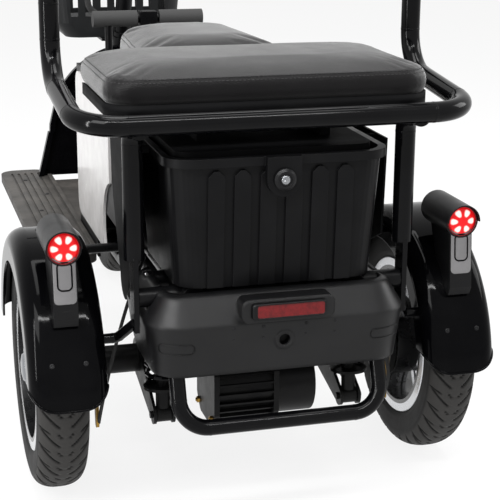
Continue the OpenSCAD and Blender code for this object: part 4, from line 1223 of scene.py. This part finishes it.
@dataclass
class Fasteners:
    """Fasteners of one kind and finish on one body.

    Attributes:
        name: name of the set.
        body: the body that they are in.
        spots: where each head sits.
        normals: which way each head faces.
        radius_mm: radius of a head.
        kind: what the head looks like.
        finish: what they are made of.
        slot: the record's slot.
    """

    name: str
    body: str
    spots: Array
    normals: Array
    radius_mm: float = 5.0
    kind: Head = Head.CROSS
    finish: Finish = Stuff.oxide
    slot: str = "steel"

    def head(self) -> tuple[Array, Array]:
        """Shape one head of radius 1 and scale it.

        A cross head is a dome of height 0.45 r less a cross sunk into its middle. A nut's rim goes out to
        the sides of a hexagon, r cos 30 over cos of the angle from a flat's middle, round a bolt's end.

        Returns:
            The points and faces of one head along +Z.
        """
        a = np.linspace(0.0, 2.0 * math.pi, 25)[:-1]
        if self.kind is Head.HEX:
            flat = math.cos(math.pi / 6) / np.cos((a + math.pi / 6) % (math.pi / 3) - math.pi / 6)
            share = np.array([1.0, 1.0, 0.93, 0.58, 0.55, 0.55, 0.5, 0.0])[:, None]
            height = np.array([-0.3, 0.62, 0.72, 0.72, 0.7, 0.95, 1.02, 1.04])[:, None]
            reach = np.where(np.arange(8)[:, None] < 3, share * flat, share + 0.0 * a)
            x, y, z = reach * np.cos(a), reach * np.sin(a), height + 0.0 * a
        else:
            r = np.array([1.0, 1.0, 0.9, 0.7, 0.5, 0.3, 0.12, 0.0])[:, None] + 0.0 * a
            x, y = r * np.cos(a), r * np.sin(a)
            slots = 1.0 - smooth_step(0.1, 0.2, np.minimum(np.abs(x), np.abs(y)))
            cross = slots * (1.0 - smooth_step(0.55, 0.75, r))
            dome = 0.45 * np.sqrt(np.maximum(1.0 - r**2 * 0.85, 0.0))
            z = dome - 0.22 * cross * (self.kind is Head.CROSS)
            z[0] = -0.2
        return np.stack([x, y, z], -1).reshape(-1, 3) * self.radius_mm * MM, grid_faces(8, 24, False, True)

    def build(self) -> bpy.types.Object:
        """Set every fastener as one mesh.

        Returns:
            The set.
        """
        shape, faces = self.head()
        side = np.where(np.abs(self.normals[:, :1]) > 0.9, [[0.0, 1.0, 0.0]], [[1.0, 0.0, 0.0]])
        points, quads = copies(shape, faces, self.spots, axes_from(self.normals, side))
        return fit(new_object(self.name, points, quads.tolist()), self.body, self.slot, self.finish)


@dataclass
class BumperTrim:
    """Screws, pips and oblong beads on the bumper's skin, and the frame round its reflector.

    Attributes:
        half: half width of the bumper in millimetres.
        back: how far its face lies behind the axle.
        turn: radius of its corners in plan.
        edge: height of its widest line.
        lean: how far its foot lies inside that line.
        drop: height from foot to that line.
        screw_height: height of the row of screws.
        pip_height: height of the row of pips.
        bead_middle: distance of an oblong bead from the middle.
        bead_height: height of the oblong beads.
    """

    half: float = 209.0
    back: float = 284.0
    turn: float = 60.0
    edge: float = 346.0
    lean: float = 11.0
    drop: float = 82.0
    screw_height: float = 340.0
    pip_height: float = 322.0
    bead_middle: float = 172.0
    bead_height: float = 311.0

    def skin(self, along: Array, height: Array) -> tuple[Array, Array]:
        """Find points on the skin: straight across, then round the corner by arc length over its radius.

        Args:
            along: distance from the middle along the widest line, in millimetres.
            height: height above the ground, in millimetres.

        Returns:
            Points in metres and the skin's normals.
        """
        flat = self.half - self.turn
        inset = (self.edge - height) * self.lean / self.drop
        angle = np.clip((np.abs(along) - flat) / self.turn, 0.0, math.pi / 2)
        side = np.sign(along)
        x = side * (np.minimum(np.abs(along), flat) + (self.turn - inset) * np.sin(angle))
        y = -self.back + self.turn - (self.turn - inset) * np.cos(angle)
        normals = np.stack([side * np.sin(angle), -np.cos(angle), 0.0 * angle], -1)
        return np.stack([x * MM, y * MM - AXLE_BACK, height * MM], -1), normals

    def build(self) -> None:
        """Set the dark screws and pips, one oblong bead on each side and the reflector's frame."""
        across = np.array([-81.0, -34.0, 34.0, 81.0])
        spots, normals = self.skin(across, np.full(4, self.screw_height))
        Fasteners("bumper_screws", "chassis", spots, normals, 2.8, Head.CROSS, Stuff.oxide).build()
        spots, normals = self.skin(across, np.full(4, self.pip_height))
        Fasteners("bumper_pips", "chassis", spots, normals, 1.9, Head.DOME, Stuff.oxide).build()
        line = rounded_outline(31.0, 8.0, 7.9, 160)
        for side in (-1.0, 1.0):
            path, out = self.skin(side * self.bead_middle + line[:, 0], self.bead_height + line[:, 1])
            ring, faces = tube(path + out * 0.1 * MM, 1.3 * MM, 10, True, np.array([0.3, 1.0, 0.05]))
            bead = new_object(f"bumper_bead_{side_name(side)}", ring, faces.tolist())
            fit(bead, "chassis", "bumper_grey", Stuff.bumper)
        self.reflector_frame()

    def reflector_frame(self) -> None:
        """Put a raised frame round the red strip, from an outer to an inner rounded outline."""
        low, high = (np.array(c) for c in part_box("reflector"))
        centre = (low + high) / 2.0
        half = (high - low) / 2.0 + 1.6 * MM
        outer = rounded_outline(half[0], half[2], 4.0 * MM, 120)
        # The strip shows 105 by 19 mm and sits a little to the right
        inner = rounded_outline(52.5 * MM, 9.6 * MM, 3.0 * MM, 120) + [3.0 * MM, 0.0]
        depth = low[1] + np.array([3.6, -0.6, -1.2, 0.3]) * MM
        rows = [outer, outer, inner + (outer - inner) * 0.25, inner]
        points = np.stack(
            [
                np.stack([centre[0] + r[:, 0], np.full(120, y), centre[2] + r[:, 1]], 1)
                for r, y in zip(rows, depth)
            ]
        )
        frame = new_object(
            "reflector_frame", points.reshape(-1, 3), grid_faces(4, 120, False, True).tolist()
        )
        face_outwards(frame)
        fit(frame, "chassis", "bumper_grey", Stuff.stand)


@dataclass
class FenderTrim:
    """Rolled lip and screws of one rear fender.

    Attributes:
        side: left or right.
        radius: outer radius of the crown in millimetres.
        half: half width.
        shoulder: radius of the rounded shoulders.
        corner: radius of the lower corners.
        foot: height of the lower edge above the axle.
        stand_back: how far ahead of the axle the lamp stand's foot lies.
        stand_foot: height of that foot.
        stand_lean: how far the stand's face leans forward for each millimetre of height.
    """

    side: str
    radius: float = 234.5
    half: float = 61.0
    shoulder: float = 28.0
    corner: float = 50.0
    foot: float = 9.0
    stand_back: float = -206.7
    stand_foot: float = 351.0
    stand_lean: float = 10.7 / 110.0

    def crown(self, across: Array) -> Array:
        """Give the radius at a sideways place: flat in the middle, a quarter circle down at the shoulder."""
        past = np.clip(np.abs(across) - (self.half - self.shoulder), 0.0, self.shoulder)
        return self.radius - self.shoulder + np.sqrt(self.shoulder**2 - past**2)

    def on_stand(self, middle: float, line: Array, height: float, proud: float) -> Array:
        """Lay a flat outline on the lamp stand's leaning face.

        Args:
            middle: the fender's middle in metres.
            line: outline across and up, in millimetres.
            height: height of the outline's middle.
            proud: how far it stands out of the face.

        Returns:
            Points in metres.
        """
        up = height + line[:, 1]
        back = self.stand_back + (up - self.stand_foot) * self.stand_lean - proud
        return np.stack([middle + line[:, 0] * MM, back * MM - AXLE_BACK, up * MM], 1)

    def face_plate(self, middle: float) -> None:
        """Put a grey plate, whose tone is a painted reflection on the black stand, with an oblong groove on the
        lamp stand.

        Args:
            middle: the fender's middle in metres.
        """
        # Each row: inset of the plate's edge and how proud it stands
        rows = [
            self.on_stand(middle, rounded_outline(17.5 - inset, 41.0 - inset, 7.0, 96), 415.0, proud)
            for inset, proud in ((0.0, -0.4), (0.0, 0.8), (0.8, 1.3))
        ]
        faces = [*grid_faces(3, 96, False, True).tolist(), list(range(192, 288))]
        plate = new_object(f"stand_plate_{self.side}", np.concatenate(rows), faces)
        face_outwards(plate)
        # The plate's grey is a painted reflection on the black stand
        fit(plate, "chassis", "fender_gloss", Stuff.plate)
        path = self.on_stand(middle, rounded_outline(11.0, 21.5, 7.5, 96), 417.0, 1.1)
        ring, faces = tube(path, 1.3 * MM, 10, True, np.array([0.2, 1.0, 0.1]))
        groove = new_object(f"stand_groove_{self.side}", ring, faces.tolist())
        fit(groove, "chassis", "fender_gloss", Stuff.gloss)

    def build(self) -> None:
        """Sweep a bead along the lower edge, dress the lamp stand and set the screws in the crown."""
        low, high = (np.array(c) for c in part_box(f"fender_{self.side}"))
        middle, axle = (low[0] + high[0]) / 2.0, AXLE_HEIGHT
        run = self.half - self.corner + 5.0
        a = np.linspace(0.0, math.pi / 2 - 0.46, 30)
        arc = np.stack([run + self.corner * np.sin(a), self.foot + self.corner * (1.0 - np.cos(a))], 1)
        flat = np.stack([np.linspace(-run, run, 20), np.full(20, self.foot)], 1)
        line = np.concatenate([arc[::-1] * [-1.0, 1.0], flat[1:-1], arc])
        radius = self.crown(line[:, 0])
        back = -np.sqrt(radius**2 - line[:, 1] ** 2)
        path = np.stack([middle + line[:, 0] * MM, back * MM - AXLE_BACK, (line[:, 1] + axle) * MM], 1)
        bead, faces = tube(path, 2.2 * MM, 10, False, np.array([0.0, 1.0, 0.0]))
        lip = new_object(f"fender_lip_{self.side}", bead, faces.tolist())
        fit(lip, "chassis", "fender_gloss", Stuff.gloss)
        self.face_plate(middle)
        # Each screw: sideways place in millimetres and angle round the axle in degrees
        place = np.array([[-26.0, 160.0], [26.0, 160.0], [-14.0, 88.0]])
        turn = np.radians(place[:, 1])
        out = np.stack([0.0 * turn, np.cos(turn), np.sin(turn)], 1)
        hub = [middle, -AXLE_BACK, axle * MM]
        spots = out * self.radius * MM + hub + place[:, :1] * MM * [[1.0, 0.0, 0.0]]
        Fasteners(f"fender_screws_{self.side}", "chassis", spots, out, 4.0, Head.CROSS, Stuff.oxide).build()


@dataclass
class WheelTrim:
    """Hub cover, nuts and valve of one rear wheel.

    Attributes:
        node: the wheel's solid.
        body: the wheel's body.
        side: minus 1 for the left wheel and 1 for the right one.
        nut_ring: radius of the ring of nuts in millimetres.
        nut_out: distance of the nuts from the wheel's middle plane.
        valve_ring: radius at which the valve stem leaves the rim.
    """

    node: str
    body: str
    side: float
    nut_ring: float = 45.0
    nut_out: float = 28.0
    valve_ring: float = 120.0

    def build(self) -> None:
        """Set five nuts and a turned cover on the hub and a valve stem in the rim."""
        low, high = (np.array(c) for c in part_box(self.node.replace("wheel", "tyre")))
        centre = (low + high) / 2.0
        turn = np.radians(np.arange(5) * 72.0 + 18.0)
        ring = np.stack([0.0 * turn, np.cos(turn), np.sin(turn)], 1)
        out = np.tile([self.side, 0.0, 0.0], (5, 1))
        spots = ring * self.nut_ring * MM + centre + [self.side * self.nut_out * MM, 0.0, 0.0]
        Fasteners(f"{self.node}_nuts", self.body, spots, out, 8.0, Head.HEX, Stuff.steel, "alloy").build()
        # Hub cover turned about the axle: radius and distance out from the wheel's middle plane
        shape = np.array(
            [
                [38.5, 20.0], [56.0, 20.0], [57.5, 21.5], [57.5, 26.0], [56.0, 27.5], [30.0, 28.5],
                [26.0, 31.0], [25.0, 39.0], [22.0, 43.0], [12.0, 45.4], [0.5, 46.0],
            ]
        )
        a = np.linspace(0.0, 2.0 * math.pi, 96, endpoint=False)
        circle = np.stack([0.0 * a, np.cos(a), np.sin(a)], 1)
        outward = np.array([self.side, 0.0, 0.0])
        points = shape[:, None, :1] * circle[None] * MM + shape[:, None, 1:] * MM * outward + centre
        cover = new_object(
            f"{self.node}_cover", points.reshape(-1, 3), grid_faces(len(shape), 96, False, True).tolist()
        )
        face_outwards(cover)
        fit(cover, self.body, "alloy", Stuff.steel)
        foot = np.array([centre[0], centre[1] + self.valve_ring * MM, centre[2]])
        path = foot + np.linspace(0.0, 1.0, 12)[:, None] * [self.side * 26.0 * MM, -16.0 * MM, 0.0]
        stem, faces = tube(path, 2.6 * MM, 10, False, np.array([0.0, 0.0, 1.0]))
        fit(new_object(f"{self.node}_valve", stem, faces.tolist()), self.body, "tyre", Stuff.grip)


@dataclass
class BrakeCable:
    """A sheathed cable from one brake lever up to the frame.

    Attributes:
        side: minus 1 for the left and 1 for the right.
    """

    side: float

    def build(self) -> bpy.types.Object:
        """Carry a 6 mm sheath along a cubic curve from the lever's eye to the side rail.

        Returns:
            The cable.
        """
        # Lever's eye, two points that bend the curve, and the side rail
        route = ((254, -54, 112), (258, -130, 190), (215, -60, 300), (152, 40, 372))
        ends = np.stack([row(self.side * x, y, z) for x, y, z in route])
        t = np.linspace(0.0, 1.0, 48)[:, None]
        path = (
            (1 - t) ** 3 * ends[0]
            + 3 * t * (1 - t) ** 2 * ends[1]
            + 3 * t**2 * (1 - t) * ends[2]
            + t**3 * ends[3]
        )
        sheath, faces = tube(path, 3.0 * MM, 10, False, np.array([1.0, 0.0, 0.2]))
        cable = new_object(f"brake_cable_{side_name(self.side)}", sheath, faces.tolist())
        return fit(cable, "chassis", "loom_black", Stuff.grip)


def display_glass() -> bpy.types.Object:
    """Lay a dark glass with rounded corners on the display's top, which leans back with the steering.

    Returns:
        The glass.
    """
    rake = math.radians(20.0)
    outline = rounded_outline(47.0, 25.0, 9.0, 96)
    # Each row: size of the outline and height along the steering axis above the front axle
    rows = ((1.0, 870.0), (1.0, 872.0), (0.97, 872.6))
    local = np.concatenate([raised(outline * share - [0.0, 3.0], height) for share, height in rows])
    y = WHEELBASE + local[:, 1] * math.cos(rake) - local[:, 2] * math.sin(rake)
    z = AXLE_HEIGHT + local[:, 1] * math.sin(rake) + local[:, 2] * math.cos(rake)
    points = np.stack([local[:, 0] * MM, y * MM - AXLE_BACK, z * MM], 1)
    faces = [*grid_faces(3, 96, False, True).tolist(), list(range(192, 288))]
    return fit(new_object("display_glass", points, faces), "steering", "control_black", Stuff.glass)


def board_screws(side: float) -> Fasteners:
    """Place screws along the flats between a foot board's grooves.

    Args:
        side: minus 1 for the left board and 1 for the right one.

    Returns:
        The screws.
    """
    low, high = (np.array(c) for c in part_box(f"foot_board_{side_name(side)}"))
    inner = high[0] if side < 0 else low[0]
    y = np.linspace(low[1] + 0.07, high[1] - 0.11, 5)
    x = inner + side * np.where(np.arange(5) % 2 == 0, 61.5, 31.5) * MM
    spots = np.stack([x, y, np.full(5, 317.0 * MM)], 1)
    up = np.tile([0.0, 0.0, 1.0], (5, 1))
    return Fasteners(f"board_screws_{side_name(side)}", "chassis", spots, up, 4.5)


def motor_bolts() -> Fasteners:
    """Place a zinc bolt in each corner of the motor's left end plate."""
    y, z = np.meshgrid([-145.0, -55.0], [137.0, 227.0])
    spots = np.stack([np.full(4, -81.0 * MM), y.ravel() * MM - AXLE_BACK, z.ravel() * MM], 1)
    out = np.tile([-1.0, 0.0, 0.0], (4, 1))
    return Fasteners("motor_bolts", "chassis", spots, out, 6.0, Head.HEX, Stuff.zinc, "zinc_yellow")


def hole_shade_disc() -> bpy.types.Object:
    """Close the bumper's hole from behind with a dark rubber disc: painted shade in place of the dark inside of
    the hole.

    Returns:
        The disc.
    """
    radius, thick, behind_axle, hole_height = 24.0, 2.0, 264.5, 316.0
    a = np.linspace(0.0, 2.0 * math.pi, 64, endpoint=False)
    ring = np.stack([np.cos(a), 0.0 * a, np.sin(a)], 1) * radius * MM
    points = np.concatenate([ring, ring + [0.0, thick * MM, 0.0]]) + row(0.0, -behind_axle, hole_height)
    faces = [*grid_faces(2, 64, False, True).tolist(), list(range(64)), list(range(64, 128))]
    disc = new_object("bumper_hole_backing", points, faces)
    face_outwards(disc)
    # The dark disc is painted shade inside the hole
    return fit(disc, "chassis", "bumper_grey", Stuff.grip)


def lock_face() -> Fasteners:
    """Place the lock's grey key plate."""
    low, high = (np.array(c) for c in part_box("box_lock"))
    spot = np.array([[(low[0] + high[0]) / 2.0, low[1] + 2.0 * MM, (low[2] + high[2]) / 2.0]])
    out = np.array([[0.0, -1.0, 0.0]])
    return Fasteners("lock_face", "chassis", spot, out, 7.0, Head.CROSS, Stuff.steel)


@dataclass
class Studio:
    """Camera, lamps, floor and background.

    Attributes:
        eye: the camera's place in metres.
        pitch: how far it looks down, in degrees.
        yaw: how far it looks to the right of straight ahead, in degrees.
        roll: how far it is turned about its own axis, in degrees.
        lens: focal length in millimetres on a 36 mm sensor.
        floor_half: half the floor's side in metres.
        ambient: strength of the white room as a light.
        floor_white: share of plain white in the floor as the eye sees it.
    """

    eye: tuple[float, float, float] = (-0.5876, -2.7260, 1.0250)
    pitch: float = 15.95
    yaw: float = 15.66
    roll: float = 0.315
    lens: float = 98.86
    floor_half: float = 30.0
    ambient: float = 0.45
    floor_white: float = 0.86

    def camera(self) -> None:
        """Put the camera where the photograph was taken from."""
        data = bpy.data.cameras.new("view")
        data.lens, data.sensor_width = self.lens, 36.0
        data.clip_end = 200.0
        eye = bpy.data.objects.new("view", data)
        turn = (
            Matrix.Rotation(-math.radians(self.yaw), 4, "Z")
            @ Matrix.Rotation(math.radians(90.0 - self.pitch), 4, "X")
            @ Matrix.Rotation(math.radians(self.roll), 4, "Z")
        )
        eye.matrix_world = Matrix.Translation(self.eye) @ turn
        bpy.context.scene.collection.objects.link(eye)
        bpy.context.scene.camera = eye

    def lamp(
        self, name: str, place: Sequence[float], aim: Sequence[float], size: tuple[float, float], power: float
    ) -> None:
        """Hang one soft lamp.

        Args:
            name: the lamp's name.
            place: where it hangs.
            aim: the point it faces.
            size: width and height in metres.
            power: its power in watts.
        """
        data = bpy.data.lights.new(name, "AREA")
        data.shape, data.energy = "RECTANGLE", power
        data.size, data.size_y = size
        lamp = bpy.data.objects.new(name, data)
        lamp.location = place
        lamp.rotation_euler = (Vector(aim) - Vector(place)).to_track_quat("-Z", "Y").to_euler()
        bpy.context.scene.collection.objects.link(lamp)

    def seen(self, tree: bpy.types.NodeTree) -> bpy.types.NodeSocket:
        """Give 1 for rays from the camera, a gloss or a glass, and 0 for the rest."""
        path = add(tree, "ShaderNodeLightPath")
        gloss = worked(tree, "MAXIMUM", path.outputs["Is Camera Ray"], path.outputs["Is Glossy Ray"])
        return worked(tree, "MAXIMUM", gloss, path.outputs["Is Transmission Ray"])

    def background(self) -> None:
        """Make the world white to the eye and a softer light on the object."""
        world = bpy.data.worlds.new("studio")
        world.use_nodes = True
        tree = world.node_tree
        tree.nodes.clear()
        level = ramp(tree, self.seen(tree), 0.0, 1.0, (self.ambient, 1.0), "LINEAR")
        sky = add(tree, "ShaderNodeBackground", {"Color": (1.0, 1.0, 1.0, 1.0), "Strength": level})
        add(tree, "ShaderNodeOutputWorld", {"Surface": sky.outputs["Background"]})
        bpy.context.scene.world = world

    def floor(self) -> None:
        """Lay a pale matt floor that keeps the shadow."""
        side = self.floor_half
        points = np.array([[-side, -side, 0.0], [side, -side, 0.0], [side, side, 0.0], [-side, side, 0.0]])
        ground = new_object("floor", points, [[0, 1, 2, 3]])
        made = bpy.data.materials.new("pale_floor")
        made.use_nodes = True
        tree = made.node_tree
        tree.nodes.clear()
        matt = add(tree, "ShaderNodeBsdfDiffuse", {"Color": linear("#f4f4f4")})
        white = add(tree, "ShaderNodeEmission", {"Color": (1.0, 1.0, 1.0, 1.0), "Strength": 1.0})
        share = worked(tree, "MULTIPLY", self.seen(tree), self.floor_white)
        mix = add(
            tree, "ShaderNodeMixShader", {0: share, 1: matt.outputs["BSDF"], 2: white.outputs["Emission"]}
        )
        add(tree, "ShaderNodeOutputMaterial", {"Surface": mix.outputs["Shader"]})
        ground.data.materials.append(made)

    def build(self) -> None:
        """Set up the whole studio."""
        bpy.context.scene.view_settings.view_transform = "Standard"
        self.camera()
        self.background()
        self.floor()
        self.lamp("key", (-2.6, -2.6, 3.4), (0.0, -0.4, 0.4), (1.8, 1.8), 110.0)
        self.lamp("top", (0.2, -0.2, 4.0), (0.0, -0.2, 0.4), (2.4, 2.4), 140.0)
        self.lamp("side", (3.4, -0.6, 2.2), (0.0, -0.2, 0.5), (1.6, 1.6), 50.0)
        # Two narrow lamps draw streaks along the gloss tube and the fenders
        self.lamp("streak_left", (-2.6, -1.6, 1.2), (0.0, -0.6, 0.5), (0.1, 2.0), 38.0)
        self.lamp("streak_top", (-0.2, -2.4, 3.0), (0.0, -0.6, 0.6), (2.6, 0.1), 64.0)


def wheel_finish(node: str) -> MachinedWheel:
    """Give a wheel its finish about its own middle.

    Args:
        node: the wheel's solid.

    Returns:
        The finish.
    """
    low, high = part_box(node)
    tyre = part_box(node.replace("wheel", "tyre"))
    centre = ((tyre[0][0] + tyre[1][0]) / 2.0, (low[1] + high[1]) / 2.0, (low[2] + high[2]) / 2.0)
    return MachinedWheel(
        f"machined_alloy_{node}", "#0d0d0e", "#171718", 0.28, Surface.SPRAYED, 2.0, 0.02,
        coat=0.3, centre=centre,
    )


def main() -> None:
    """Load the frame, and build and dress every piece."""
    logging.basicConfig(level=logging.INFO, format="%(name)s: %(message)s")
    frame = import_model()
    Studio().build()
    for name, finish in CAD_FINISH.items():
        dress(frame["nodes"][name], finish)
    for name in ("wheel_rear_left", "wheel_rear_right", "wheel_front"):
        dress(frame["nodes"][name], wheel_finish(name))
    tyres = (
        ("tyre_rear_left", "rear_wheel_left"),
        ("tyre_rear_right", "rear_wheel_right"),
        ("tyre_front", "front_wheel"),
    )
    for node, body in tyres:
        Tyre(node, body).build()
    Cushion("rear_seat", "seat_lid", 0.05, shade_skirt=0.013).build()
    Cushion("driver_seat", "chassis", 0.045, narrow=0.82).build()
    Cushion("back_pad", "chassis", 0.045, rise="y").build()
    for side in ("left", "right"):
        TailLamp(side).build()
    BumperTrim().build()
    for side, sign in (("left", -1.0), ("right", 1.0)):
        FenderTrim(side).build()
        WheelTrim(f"wheel_rear_{side}", f"rear_wheel_{side}", sign).build()
        BrakeCable(sign).build()
        board_screws(sign).build()
    for piece in (motor_bolts(), lock_face()):
        piece.build()
    display_glass()
    hole_shade_disc()


if __name__ == "__main__":
    main()
